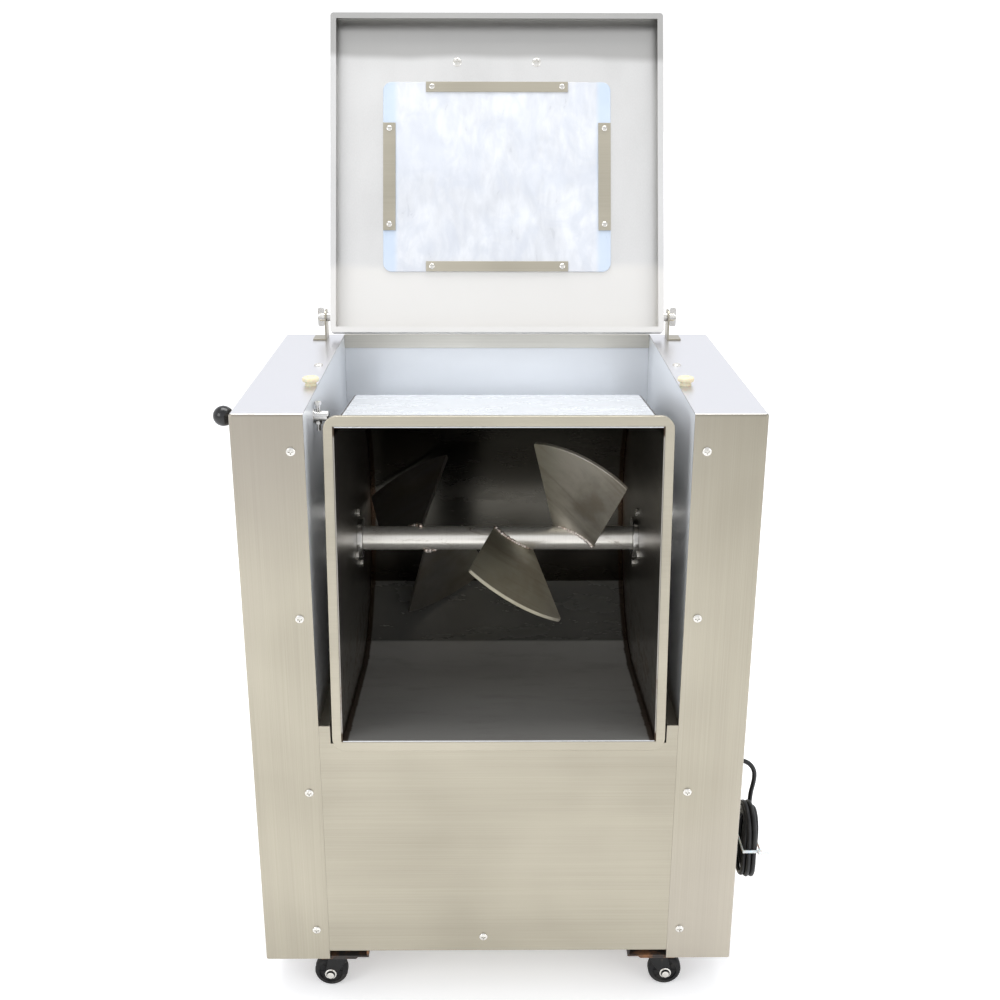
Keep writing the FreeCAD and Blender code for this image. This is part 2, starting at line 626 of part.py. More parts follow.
def drive():
    front, back = "axis_back - gearbox_depth / 2", "axis_back + gearbox_depth / 2"
    case = box(GEARBOX_LEFT, GEARBOX_RIGHT, front, back, "panel_foot", "2 * output_height - panel_foot")
    case = rounded(case, "gearbox_corner", lambda edge, middle: runs_along(edge, Vector(1, 0, 0))
                   and middle.z > value("output_height"))
    boss = rod("gearbox_boss", "boss_length", GEARBOX_RIGHT, "axis_back", "output_height", "+X")
    socket = rod("output_radius + running_gap", "gearbox_width", OUTPUT_START + " - gearbox_width / 2",
                 "axis_back", "output_height", "+X")
    node(cut(fuse(case, boss), socket), "gearbox")
    node(motor(), "drive_motor")
    start = OUTPUT_START + " - gearbox_width / 2 + end_gap"
    shaft = rod("output_radius", "%s - (%s)" % (JOURNAL_RIGHT, start), start, "axis_back", "output_height",
                "+X")
    node(shaft, "output_shaft")
    wheel = sprocket("output_teeth", "output_radius", "output_teeth")
    node(place(wheel, SPROCKET_PLANE, "axis_back", "output_height"), "output_sprocket")
    node(chain(), "drive_chain")


def motor():
    start = GEARBOX_LEFT + " - motor_length"
    height = "panel_foot + motor_radius + motor_cap / 2"
    barrel = rod("motor_radius", "motor_length", start, "axis_back", height, "+X")
    barrel = rounded(barrel, "motor_cap / 2", lambda edge, middle: is_circle(edge, "motor_radius")
                     and middle.x < value(GEARBOX_LEFT + " - motor_length / 2"))
    foot = box(GEARBOX_LEFT + " - motor_length * 3 / 4", GEARBOX_LEFT + " - motor_length / 4",
               "axis_back - motor_foot_width / 2", "axis_back + motor_foot_width / 2", "panel_foot",
               "panel_foot + motor_radius / 2")
    return fuse(barrel, foot)


def chain():
    """The closed path of the chain round both wheels, standing clear of the turning teeth."""
    span = value("axis_height - output_height")
    big = value(pitch_radius("shaft_teeth") + " + tooth_rise + chain_clear")
    small = value(pitch_radius("output_teeth") + " + tooth_rise + chain_clear")
    thick, width = value("chain_thick"), value("chain_width")

    def loop(grow):
        top, low = big + grow, small + grow
        lean = math.asin((big - small) / span)
        side = Vector(0, math.cos(lean), -math.sin(lean))
        other = Vector(0, -side.y, side.z)
        axle = Vector(0, 0, span)
        a, b = side * low, axle + side * top
        c, d = axle + other * top, other * low
        edges = [Part.LineSegment(a, b).toShape(), Part.Arc(b, axle + Vector(0, 0, top), c).toShape(),
                 Part.LineSegment(c, d).toShape(), Part.Arc(d, Vector(0, 0, -low), a).toShape()]
        return Part.Face(Part.Wire(edges)).extrude(Vector(width, 0, 0))

    item = doc.addObject("Part::Feature", "chain")
    item.Shape = loop(thick).cut(loop(0))
    item.Placement = Placement(Vector(), Rotation())
    return place(item, SPROCKET_PLANE + " - chain_width / 2", "axis_back", "output_height")


# Lid, drawn closed about its pivot

def swung(item):
    item.Placement = Placement(Vector(), Rotation(Vector(-1, 0, 0), 1))
    bind(item, "Placement.Rotation.Angle", "lid_open")
    return place(item, 0, "lid_pivot_back", PIVOT_HEIGHT)


def lid():
    shell = box("-" + HALF_LID, HALF_LID, LID_FRONT, LID_BACK, "-lid_drop", LID_TOP)
    top = value(LID_TOP)
    shell = rounded(shell, "lid_corner", lambda edge, middle: runs_along(edge, Vector(0, 0, 1))
                    or abs(middle.z - top) < 0.01)
    hollow = box("-(%s - lid_sheet)" % HALF_LID, HALF_LID + " - lid_sheet", LID_FRONT + " + lid_sheet",
                 LID_BACK + " - lid_sheet", "lid_sheet - lid_drop", LID_INNER)
    mouth = box("-(%s - lid_lip)" % HALF_LID, HALF_LID + " - lid_lip", LID_FRONT + " + lid_lip",
                LID_BACK + " - lid_lip", "-lid_drop - 1", "2 * lid_sheet - lid_drop")
    middle = "lid_rear - window_start - window_length / 2"
    opening = box("-opening_width / 2", "opening_width / 2", middle + " - opening_length / 2",
                  middle + " + opening_length / 2", "0", LID_TOP + " + 1")
    pins = [rod("hinge_pin + running_gap", "lid_lip + 2", across(side, HALF_LID + " + 1"), "0", "0",
                inward(side)) for name, side in SIDES]
    node(swung(cut(shell, hollow, mouth, opening, *pins)), "lid_panel")
    sheet_low = LID_INNER + " - window_thick"
    window = box("-window_width / 2", "window_width / 2", middle + " - window_length / 2",
                 middle + " + window_length / 2", sheet_low, LID_INNER)
    window = rounded(window, "window_corner", lambda edge, spot: runs_along(edge, Vector(0, 0, 1)))
    node(swung(window), "lid_window")
    window_strips(middle, sheet_low)
    node(swung(lid_handle()), "lid_handle")


def window_strips(middle, sheet_low):
    strips, screws = [], []
    low = sheet_low + " - strip_thick"
    for sign in ("-", "+"):
        far = "%s %s (window_length / 2 - strip_long_width / 2)" % (middle, sign)
        strips.append(box("-strip_long / 2", "strip_long / 2", far + " - strip_long_width / 2",
                          far + " + strip_long_width / 2", low, sheet_low))
        side = "%s(window_width / 2 - strip_short_width / 2)" % ("-" if sign == "-" else "")
        strips.append(box(side + " - strip_short_width / 2", side + " + strip_short_width / 2",
                          middle + " - strip_short / 2", middle + " + strip_short / 2", low, sheet_low))
        for end in ("-", ""):
            screws.append(rod("strip_screw", "strip_thick", end + "(strip_long / 2 - strip_screw_inset)",
                              far, low, "-Z"))
            screws.append(rod("strip_screw", "strip_thick", side,
                              "%s + %s(strip_short / 2 - strip_screw_inset)" % (middle, end), low, "-Z"))
    for end in (-1, 1):
        screws.append(rod("handle_screw", "strip_thick", across(end, "handle_span / 2"),
                          "lid_rear - handle_reach", LID_INNER, "-Z"))
    node(swung(group(strips)), "window_strips")
    node(swung(group(screws)), "lid_screws")


def lid_handle():
    """A bow of round bar on the outer face of the lid."""
    half, rise = value("handle_span / 2"), value("handle_rise")
    top, y = value(LID_TOP), value("lid_rear - handle_reach")
    item = doc.addObject("Part::Feature", "bow")
    high = top + rise
    spots = [Vector(x, y, z) for x, z in ((-half, top), (-half, high), (half, high), (half, top))]
    item.Shape = bent_bar(spots, value("handle_radius"), [value("handle_bend")] * 2)
    return item


def bent_bar(spots, radius, bends):
    """A round bar along straight runs that are joined by tangent arcs."""
    edges, start = [], spots[0]
    for before, corner, after, bend in zip(spots, spots[1:], spots[2:], bends):
        inward_run, outward_run = (corner - before).normalize(), (after - corner).normalize()
        turn = inward_run.getAngle(outward_run)
        reach = bend * math.tan(turn / 2)
        first, last = corner - inward_run * reach, corner + outward_run * reach
        to_centre = (outward_run - inward_run).normalize()
        centre = corner + to_centre * (bend / math.cos(turn / 2))
        edges.append(Part.LineSegment(start, first).toShape())
        edges.append(Part.Arc(first, centre - to_centre * bend, last).toShape())
        start = last
    edges.append(Part.LineSegment(start, spots[-1]).toShape())
    path = Part.Wire(edges)
    direction = (spots[1] - spots[0]).normalize()
    section = Part.Wire(Part.Circle(spots[0], direction, radius).toShape())
    bar = path.makePipeShell([section], True, True)
    print("bar volume", round(bar.Volume), "section by length", round(math.pi * radius ** 2 * path.Length))
    return bar


def lid_hinges():
    brackets, bolts, nuts = [], [], []
    y0, y1 = "lid_pivot_back - ear_width / 2", "lid_pivot_back + ear_width / 2"
    pivot = ("lid_pivot_back", PIVOT_HEIGHT)
    outer = EAR_INNER + " + ear_sheet"
    for name, side in SIDES:
        ear = box(*mirrored(side, EAR_INNER, outer), y0, y1, "top_height", PIVOT_HEIGHT + " + ear_top")
        ear = rounded(ear, "ear_width / 3", lambda edge, middle: runs_along(edge, Vector(1, 0, 0))
                      and middle.z > value(PIVOT_HEIGHT))
        foot = box(*mirrored(side, EAR_INNER, EAR_INNER + " + ear_foot_width"), y0, y1, "top_height",
                   "top_height + ear_sheet")
        hole = rod("hinge_pin", "ear_sheet + 4", across(side, EAR_INNER + " - 2"), *pivot, outward(side))
        brackets.append(cut(fuse(ear, foot), hole))
        head_face = HALF_LID + " - lid_sheet - end_gap"
        head = rod("hinge_head", "hinge_head_thick", across(side, head_face), *pivot, inward(side))
        pin = rod("hinge_pin", "%s + wing_length + 3 - (%s)" % (outer, head_face), across(side, head_face),
                  *pivot, outward(side))
        shoulder = rod("hinge_head", "ear_gap - end_gap", across(side, HALF_LID + " + end_gap"), *pivot,
                       outward(side))
        bolts.append(fuse(head, pin, shoulder))
        root = rod("wing_root", "wing_length", across(side, outer), *pivot, outward(side))
        wings = box(*mirrored(side, outer + " + 2", outer + " + wing_length + 3"),
                    "lid_pivot_back - wing_thick / 2", "lid_pivot_back + wing_thick / 2",
                    PIVOT_HEIGHT + " - wing_span", PIVOT_HEIGHT + " + wing_span")
        wings = rounded(wings, "wing_thick", lambda edge, middle: runs_along(edge, Vector(0, 1, 0)))
        thread = rod("hinge_pin", "wing_length + 6", across(side, outer), *pivot, outward(side))
        nuts.append(cut(fuse(root, wings), thread))
    node(group(brackets), "hinge_brackets")
    node(group(bolts + nuts), "hinge_bolts")


# Lock bolt of the tub

def lock():
    y, z = "lock_back", LOCK_HEIGHT
    length = "%s - %s" % (LOCK_TAIL, LOCK_NOSE)
    nose = rod("lock_radius", length, "-" + LOCK_NOSE, y, z, "-X")
    nose = rounded(nose, "lock_radius / 3", lambda edge, middle: is_circle(edge, "lock_radius")
                   and middle.x > -value(LOCK_NOSE) - 0.01)
    x = "-(%s - cross_bolt_in)" % TOWER_FACE
    stud = rod("cross_bolt_radius", "2 * cross_bolt_half", x, y, z + " - cross_bolt_half")
    head = hexagon("cross_head", "cross_head_height", x, y, z + " + cross_bolt_half - cross_head_height")
    nut = hexagon("cross_head", "cross_head_height", x, y, z + " - lock_radius - cross_head_height")
    node(fuse(nose, stud, head, nut), "lock_rod")
    ball = doc.addObject("Part::Sphere", "ball")
    bind(ball, "Radius", "ball_radius")
    place(ball, "-(machine_width / 2 + ball_out)", y, z)
    socket = rod("lock_radius + running_gap", length, "-" + LOCK_NOSE, y, z, "-X")
    node(cut(ball, socket), "ball_knob")
    bushes = []
    for start, flange_at in (("machine_width / 2 + bush_proud", "machine_width / 2 - cover_sheet"),
                             (TOWER_FACE + " + bush_length - bush_proud",
                              TOWER_FACE + " + side_plate + bush_flange")):
        body = rod(BUSH_RADIUS, "bush_length", "-(%s)" % start, y, z, "+X")
        flange = rod(BUSH_RADIUS + " + bush_wall", "bush_flange", "-(%s)" % flange_at, y, z, "+X")
        through = rod("lock_radius + running_gap", "bush_length + 8", "-(%s) - 4" % start, y, z, "+X")
        bushes.append(cut(fuse(body, flange), through))
    node(group(bushes), "lock_bushes")


# Casters

def casters():
    plates = []
    for front_name, front in (("front", -1), ("rear", 1)):
        for name, side in SIDES:
            hub_x = across(side, TOWER_FACE + " + wheel_outset")
            hub_y = across(front, HALF_DEPTH + " - wheel_inset")
            swivel_x = across(side, TOWER_FACE + " + wheel_outset - caster_trail")
            plates.append(caster_plate(swivel_x, hub_y))
            where = "%s_%s" % (front_name, name)
            node(caster_fork(swivel_x, hub_y, side), "caster_fork_" + where)
            node(caster_wheel(hub_x, hub_y), "caster_wheel_" + where)
    node(group(plates), "caster_plates")


RACE_LOW = "(channel_base - caster_plate_thick - race_height)"
CROWN_TOP = "(channel_base - caster_plate_thick - race_height - swivel_gap)"
CROWN_LOW = "(2 * wheel_radius + fork_clear)"


def caster_plate(x, y):
    flat = box(x + " - caster_plate / 2", x + " + caster_plate / 2", y + " - caster_plate / 2",
               y + " + caster_plate / 2", "channel_base - caster_plate_thick", "channel_base")
    flat = rounded(flat, "bend_radius", lambda edge, middle: runs_along(edge, Vector(0, 0, 1)))
    return fuse(flat, rod("race_radius", "race_height", x, y, RACE_LOW))


def caster_fork(x, y, side):
    """A bent fork whose legs trail from the swivel to the axle, with the axle bolt through its eyes."""
    body = new_body()
    trail = across(side, "caster_trail")
    outline = [("-fork_crown + fork_taper", CROWN_TOP), (trail + " - fork_eye", "wheel_radius"),
               (trail + " + fork_eye", "wheel_radius"), ("fork_crown - fork_taper", CROWN_TOP)]
    width = "wheel_width + 2 * fork_gap + 2 * fork_leg"
    pad(body, profile(body, "XZ_Plane", outline), width, midplane=True)
    pad(body, ring_sketch(body, "XZ_Plane", [(trail, "wheel_radius", "fork_eye")]), width, midplane=True)
    doc.recompute()
    reach = "wheel_radius + caster_trail + fork_crown"
    slot = [("-(%s)" % reach, "0"), (reach, "0"), (reach, CROWN_LOW), ("-(%s)" % reach, CROWN_LOW)]
    pocket(body, profile(body, "XZ_Plane", slot), "wheel_width + 2 * fork_gap", midplane=True)
    place(body, x, y, 0)
    crown = rod("fork_crown", "%s - %s" % (CROWN_TOP, CROWN_LOW), x, y, CROWN_LOW)
    hub_x = "%s + %s" % (x, trail)
    half = "(wheel_width / 2 + fork_gap + fork_leg)"
    eyes = rod("axle_radius", "2 * %s + 4" % half, hub_x, "%s - %s - 2" % (y, half), "wheel_radius", "+Y")
    fork = cut(fuse(body, crown), eyes)
    shank = rod("axle_radius", "2 * " + half, hub_x, "%s - %s" % (y, half), "wheel_radius", "+Y")
    head = hexagon("axle_head", "axle_head_height", hub_x, "%s - %s" % (y, half), "wheel_radius", "-Y")
    nut = hexagon("axle_head", "axle_head_height", hub_x, "%s + %s" % (y, half), "wheel_radius", "+Y")
    return group([fork, fuse(shank, head, nut)])


def caster_wheel(x, y):
    start = y + " - wheel_width / 2"
    tyre = rod("wheel_radius", "wheel_width", x, start, "wheel_radius", "+Y")
    tyre = rounded(tyre, "wheel_round", lambda edge, middle: is_circle(edge, "wheel_radius"))
    tools = [rod("axle_radius + running_gap", "wheel_width + 4", x, start + " - 2", "wheel_radius", "+Y")]
    for face, along in ((start + " - 1", "+Y"), (y + " + wheel_width / 2 + 1", "-Y")):
        tools.append(cut(rod("tread_radius", "hub_recess + 1", x, face, "wheel_radius", along),
                         rod("hub_radius", "hub_recess + 1", x, face, "wheel_radius", along)))
    return cut(tyre, *tools)


# Switch on the right tower

def switch():
    y, z, face = "switch_back", "switch_height", "machine_width / 2"
    plate = box(face, face + " + switch_plate_thick", y + " - switch_plate / 2", y + " + switch_plate / 2",
                z + " - switch_plate / 2", z + " + switch_plate / 2")
    plate = rounded(plate, "bend_radius", lambda edge, middle: runs_along(edge, Vector(1, 0, 0)))
    node(plate, "switch_plate")
    seat = face + " + switch_plate_thick + knob_gap"
    disc = rod("knob_radius", "knob_base", seat, y, z, "+X")
    grip = box(seat, seat + " + knob_base + knob_grip", y + " - knob_grip_width / 2",
               y + " + knob_grip_width / 2", z + " - knob_radius * 0.9", z + " + knob_radius * 0.9")
    grip = rounded(grip, "knob_grip_width / 3", lambda edge, middle: not runs_along(edge, Vector(0, 1, 0))
                   and middle.x > value(seat) + 1)
    node(fuse(disc, grip), "switch_knob")


# Power cord

def cord():
    y, z, face = "gland_back", "gland_height", "machine_width / 2"
    collar = hexagon("gland_hex", "gland_hex_length", face, y, z, "+X")
    dome = rod("gland_radius", "gland_length", face, y, z, "+X")
    dome = rounded(dome, "gland_radius / 3", lambda edge, middle: is_circle(edge, "gland_radius")
                   and middle.x > value(face) + 1)
    node(fuse(collar, dome), "cord_gland")
    mouth = Vector(value(face + " + gland_length"), value(y), value(z))
    spots = [mouth + Vector(*step) for step in LEAD_POINTS]
    radii = []
    for before, corner, after in zip(spots, spots[1:], spots[2:]):
        turn = (corner - before).getAngle(after - corner)
        shorter = min((corner - before).Length, (after - corner).Length)
        radii.append(0.45 * shorter / math.tan(turn / 2))
    print("lead radii", [round(radius, 1) for radius in radii])
    lead = doc.addObject("Part::Feature", "lead")
    lead.Shape = bent_bar(spots, value("cord_radius"), radii)
    node(lead, "power_lead")
    coil()


def coil():
    x0, x1 = HANK_MIDDLE + " - hank_thick / 2", HANK_MIDDLE + " + hank_thick / 2"
    y, round_end = "hank_back", "hank_width / 2"
    middle = box(x0, x1, y + " - " + round_end, y + " + " + round_end, "hank_low", "hank_top")
    form = rounded(middle, "hank_width * 0.45", lambda edge, spot: runs_along(edge, Vector(1, 0, 0)))
    node(form, "cord_hank")
    grow = "tie_gap + tie_thick"
    low, high = "tie_low", "tie_low + tie_width"
    outer = box(x0 + " - (%s)" % grow, x1 + " + " + grow, y + " - %s - (%s)" % (round_end, grow),
                y + " + %s + %s" % (round_end, grow), low, high)
    inner = box(x0 + " - tie_gap", x1 + " + tie_gap", y + " - %s - tie_gap" % round_end,
                y + " + %s + tie_gap" % round_end, low + " - 1", high + " + 1")
    head_y = y + " - %s - (%s)" % (round_end, grow)
    head = box(x1 + " - 3", x1 + " + 3", head_y + " - 4", head_y + " + tie_thick", low + " - 1",
               high + " + 1")
    tail = box(x1 + " + 3", x1 + " + 3 + tie_tail", head_y + " - 3", head_y + " - 3 + tie_thick", low, high)
    node(cut(fuse(outer, head, tail), inner), "cable_tie")
    grip = box(x0 + " - tie_gap - plug_depth", x0 + " - tie_gap", "plug_back - plug_width / 2",
               "plug_back + plug_width / 2", "plug_low", "plug_low + plug_height")
    grip = rounded(grip, "plug_depth / 5", lambda edge, spot: runs_along(edge, Vector(0, 0, 1)))
    pins = [rod("plug_pin", "plug_pin_length", x0 + " - tie_gap - plug_depth / 2",
                "plug_back + %d * plug_pin_spread / 2" % end, "plug_low", "-Z") for end in (-1, 1)]
    node(fuse(grip, *pins), "power_plug")


# The whole machine

cabinet()
tub()
mixing_shaft()
drive()
lid()
lid_hinges()
lock()
casters()
switch()
cord()
doc.recompute()

for item in doc.Objects:
    if "Invalid" in item.State or "Error" in item.State:
        raise RuntimeError("%s (%s) did not compute" % (item.Name, item.Label))
for item in nodes:
    if item.Shape.isNull() or not item.Shape.isValid() or item.Shape.Volume < 1:
        raise RuntimeError("%s has no valid shape" % item.Label)

os.makedirs("parts", exist_ok=True)
for item in nodes:
    item.Shape.exportStep("parts/%s.step" % item.Label)
    limits = item.Shape.BoundBox
    print("%-24s %2d solids %10.0f mm3  x %7.1f %7.1f  y %7.1f %7.1f  z %7.1f %7.1f" % (
        item.Label, len(item.Shape.Solids), item.Shape.Volume, limits.XMin, limits.XMax, limits.YMin,
        limits.YMax, limits.ZMin, limits.ZMax))
print(len(nodes), "nodes")
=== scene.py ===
"""Looks of the tilting-tub meat mixer, built round the packed parts. Everything is in metres."""

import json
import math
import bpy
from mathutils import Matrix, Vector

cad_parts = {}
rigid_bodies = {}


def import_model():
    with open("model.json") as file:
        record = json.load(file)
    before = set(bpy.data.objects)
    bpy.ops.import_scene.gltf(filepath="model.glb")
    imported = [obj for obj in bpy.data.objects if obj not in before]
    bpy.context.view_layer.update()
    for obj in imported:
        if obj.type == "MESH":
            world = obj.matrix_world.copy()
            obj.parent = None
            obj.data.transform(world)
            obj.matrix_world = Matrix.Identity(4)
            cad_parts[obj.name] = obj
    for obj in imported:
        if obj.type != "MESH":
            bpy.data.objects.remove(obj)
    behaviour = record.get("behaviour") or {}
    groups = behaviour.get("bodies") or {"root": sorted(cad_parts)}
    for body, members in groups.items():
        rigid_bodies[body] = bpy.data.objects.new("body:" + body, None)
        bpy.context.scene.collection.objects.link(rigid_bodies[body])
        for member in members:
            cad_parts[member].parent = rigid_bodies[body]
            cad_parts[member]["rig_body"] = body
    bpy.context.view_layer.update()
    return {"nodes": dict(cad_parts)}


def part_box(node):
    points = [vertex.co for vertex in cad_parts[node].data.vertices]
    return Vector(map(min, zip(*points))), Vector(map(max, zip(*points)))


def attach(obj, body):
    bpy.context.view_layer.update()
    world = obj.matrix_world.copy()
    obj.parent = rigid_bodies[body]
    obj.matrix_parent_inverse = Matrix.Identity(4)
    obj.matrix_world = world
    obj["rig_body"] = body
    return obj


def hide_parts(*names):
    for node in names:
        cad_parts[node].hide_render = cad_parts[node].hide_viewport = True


bl_info = {
    "name": "Tilting Tub Mixer",
    "version": (1, 0, 0),
    "blender": (4, 5, 0),
    "location": "View3D > Sidebar > Mixer",
    "description": "Dresses the mixer's packed parts with edges, fasteners, welds, cord and finishes",
    "category": "Object",
}

import bmesh
import bpy
from mathutils import Matrix, Vector

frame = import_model()

MM = 0.001
X, Y, Z = Vector((1, 0, 0)), Vector((0, 1, 0)), Vector((0, 0, 1))
CORNERS = ("front_left", "front_right", "rear_left", "rear_right")
PADDLES = range(1, 5)

# The tub's axis (back, up), how far it is tipped, and the middle of its sheet
TUB_AXIS = (0.008, 0.640)
TUB_LEAN = math.radians(84)
TUB_SKIN = 217 * MM

# How far the open lid is turned, and the way that its inside faces
LID_LEAN = math.radians(110)
LID_INWARD = Matrix.Rotation(-LID_LEAN, 3, "X") @ Vector((0, 0, -1))

# Where the finishes change, painted light and shade among them: the two ends of each change, along an axis
# of the frame
TOWER_SHADE, TOWER_TOP = (0.70, 0.98), (0.9048, 0.9058)
PLATE_PAINTED_SHEEN, PANEL_PAINTED_SHEEN = (0.44, 0.50), (0.2474, 0.2470)
LID_PAINTED_SHADE, LID_PAINTED_LIGHT = (1.338, 1.352), (1.036, 1.018)
WINDOW_EDGE = (0.157, 0.168)
PADDLE_MIDDLE, PADDLE_RIGHT = (-0.10, 0.0), (0.05, 0.11)

# The same for the tub: across the trough (the steps of painted shade and light, and the marks), and outwards
# to its seams
BACK_FOOT, STEP_TOP, FLOOR_EDGE = (-0.070, -0.076), (-0.1215, -0.1235), (-0.1965, -0.1985)
MARKS_TOP = (-0.06, -0.16)
TROUGH_SEAM, END_SEAM = (0.2045, 0.2075), (0.203, 0.208)
SEAM_STAIN = (0.045, 0.026, 0.015)

# What the moving bodies are called in the frame
CABINET, SHAFT, LID, LOCK = "cabinet", "mixer_shaft", "lid", "lock_bolt"


# Settings

COLOUR = {"subtype": "COLOR", "size": 3, "min": 0, "max": 1}


class CasingSettings(bpy.types.PropertyGroup):
    """Sheet metal of the towers, panels and lid"""
    fold: bpy.props.FloatProperty(
        name="Fold", description="Width of the rounded edge of folded sheet", default=0.7 * MM, min=0.1 * MM,
        max=4 * MM, subtype="DISTANCE")
    light: bpy.props.FloatVectorProperty(
        name="Steel light", description="Brightest tone of the brushed steel", default=(0.455, 0.422, 0.342),
        **COLOUR)
    dark: bpy.props.FloatVectorProperty(
        name="Steel dark", description="Darkest tone of the brushed steel", default=(0.325, 0.298, 0.238),
        **COLOUR)
    roughness: bpy.props.FloatProperty(
        name="Roughness", description="Mean roughness of the brushed steel", default=0.3, min=0, max=1,
        subtype="FACTOR")


class TubSettings(bpy.types.PropertyGroup):
    """Tub, paddles and shaft"""
    rim_round: bpy.props.FloatProperty(
        name="Rim rounding", description="Rounding of the bar round the tub's mouth", default=2.6 * MM,
        min=0.5 * MM, max=5 * MM, subtype="DISTANCE")
    bead: bpy.props.FloatProperty(
        name="Weld bead", description="Radius of the weld between a paddle and the shaft", default=2.9 * MM,
        min=0.5 * MM, max=5 * MM, subtype="DISTANCE")
    bead_count: bpy.props.IntProperty(
        name="Weld ripples", description="Ripples in each weld", default=26, min=6, max=80)
    stain: bpy.props.FloatVectorProperty(
        name="Stain", description="Brown stain on the shaft and the tub's ends", default=(0.17, 0.105, 0.06),
        **COLOUR)


class FittingSettings(bpy.types.PropertyGroup):
    """Fasteners, knobs and bumpers"""
    edge: bpy.props.FloatProperty(
        name="Edge", description="Width of the broken edge on turned and sawn parts", default=0.4 * MM,
        min=0.1 * MM, max=2 * MM, subtype="DISTANCE")
    recess: bpy.props.FloatProperty(
        name="Cross recess", description="Depth of a screw's cross, as a share of its height", default=0.6,
        min=0.1, max=0.9, subtype="FACTOR")
    bumper: bpy.props.FloatVectorProperty(
        name="Bumper", description="Cream rubber of the lid's bumpers", default=(0.80, 0.74, 0.52), **COLOUR)


class CordSettings(bpy.types.PropertyGroup):
    """Power lead"""
    diameter: bpy.props.FloatProperty(
        name="Diameter", description="Diameter of the lead", default=7 * MM, min=4 * MM, max=12 * MM,
        subtype="DISTANCE")
    pitch: bpy.props.FloatProperty(
        name="Pitch", description="Distance between two turns of the hank", default=7.4 * MM, min=5 * MM,
        max=15 * MM, subtype="DISTANCE")
    turn_points: bpy.props.IntProperty(
        name="Points in a turn", description="Points that lay out one turn of the hank", default=18, min=12,
        max=40)


class StageSettings(bpy.types.PropertyGroup):
    """Camera, floor and light"""
    lens: bpy.props.FloatProperty(
        name="Lens", description="Focal length on a 36 mm sensor", default=45.63, min=20, max=200)
    pitch: bpy.props.FloatProperty(
        name="Pitch", description="How far the camera looks down", default=math.radians(19.16),
        subtype="ANGLE")
    yaw: bpy.props.FloatProperty(
        name="Yaw", description="How far the camera looks to the right", default=math.radians(0.48),
        subtype="ANGLE")
    roll: bpy.props.FloatProperty(
        name="Roll", description="How far the camera leans", default=math.radians(0.11), subtype="ANGLE")
    place: bpy.props.FloatVectorProperty(
        name="Place", description="Where the camera stands", default=(-0.0118, -1.8068, 1.3317), size=3,
        subtype="TRANSLATION")
    floor: bpy.props.FloatVectorProperty(
        name="Floor", description="Colour of the floor", default=(0.93, 0.93, 0.93), **COLOUR)


# Shader maths

class Signal:
    """A socket that takes part in sums: each operator adds a Math node."""

    def __init__(self, nodes, socket):
        self.nodes = nodes
        self.socket = socket

    def combine(self, operation, first, second):
        return self.nodes.signal("Math", {"operation": operation}, first, second)

    def __add__(self, other):
        return self.combine("ADD", self, other)

    def __sub__(self, other):
        return self.combine("SUBTRACT", self, other)

    def __rsub__(self, other):
        return self.combine("SUBTRACT", other, self)

    def __mul__(self, other):
        return self.combine("MULTIPLY", self, other)

    def __pow__(self, other):
        return self.combine("POWER", self, other)

    def __abs__(self):
        return self.combine("ABSOLUTE", self, 0.0)

    __radd__ = __add__

    def smooth(self, low, high):
        """0 below low and 1 above high, or the other way round where low is the greater."""
        return self.nodes.signal("MapRange", {"interpolation_type": "SMOOTHSTEP", "clamp": True},
                                 Value=self, From_Min=min(low, high), From_Max=max(low, high),
                                 To_Min=0.0 if low < high else 1.0, To_Max=1.0 if low < high else 0.0)


class Nodes:
    """Adds nodes to a tree and feeds their sockets with numbers, colours or signals."""

    def __init__(self, tree):
        self.tree = tree
        tree.nodes.clear()

    def node(self, kind, settings=None, *sources, **sockets):
        """Sources feed the first sockets in order; the others are named, with _ for a space."""
        item = self.tree.nodes.new("ShaderNode" + kind)
        for key, setting in (settings or {}).items():
            if key == "stops":
                self.set_stops(item.color_ramp, setting)
            else:
                setattr(item, key, setting)
        for number, source in enumerate(sources):
            self.feed(item.inputs[number], source)
        for key, source in sockets.items():
            self.feed(item.inputs[key.replace("_", " ")], source)
        return item

    def signal(self, kind, settings=None, *sources, output=0, **sockets):
        return Signal(self, self.node(kind, settings, *sources, **sockets).outputs[output])

    @staticmethod
    def set_stops(ramp, stops):
        while len(ramp.elements) < len(stops):
            ramp.elements.new(0.5)
        for element, (spot, colour) in zip(ramp.elements, stops):
            element.position = spot
            element.color = (*colour, 1)

    def feed(self, socket, source):
        if isinstance(source, Signal):
            self.tree.links.new(source.socket, socket)
        elif socket.type == "RGBA" and len(source) == 3:
            socket.default_value = (*source, 1)
        else:
            socket.default_value = source

    def axis(self, letter, source="Object"):
        """The distance along one of the object's axes, in metres."""
        place = self.signal("TexCoord", output=source)
        return self.signal("SeparateXYZ", None, place, output="XYZ".index(letter))


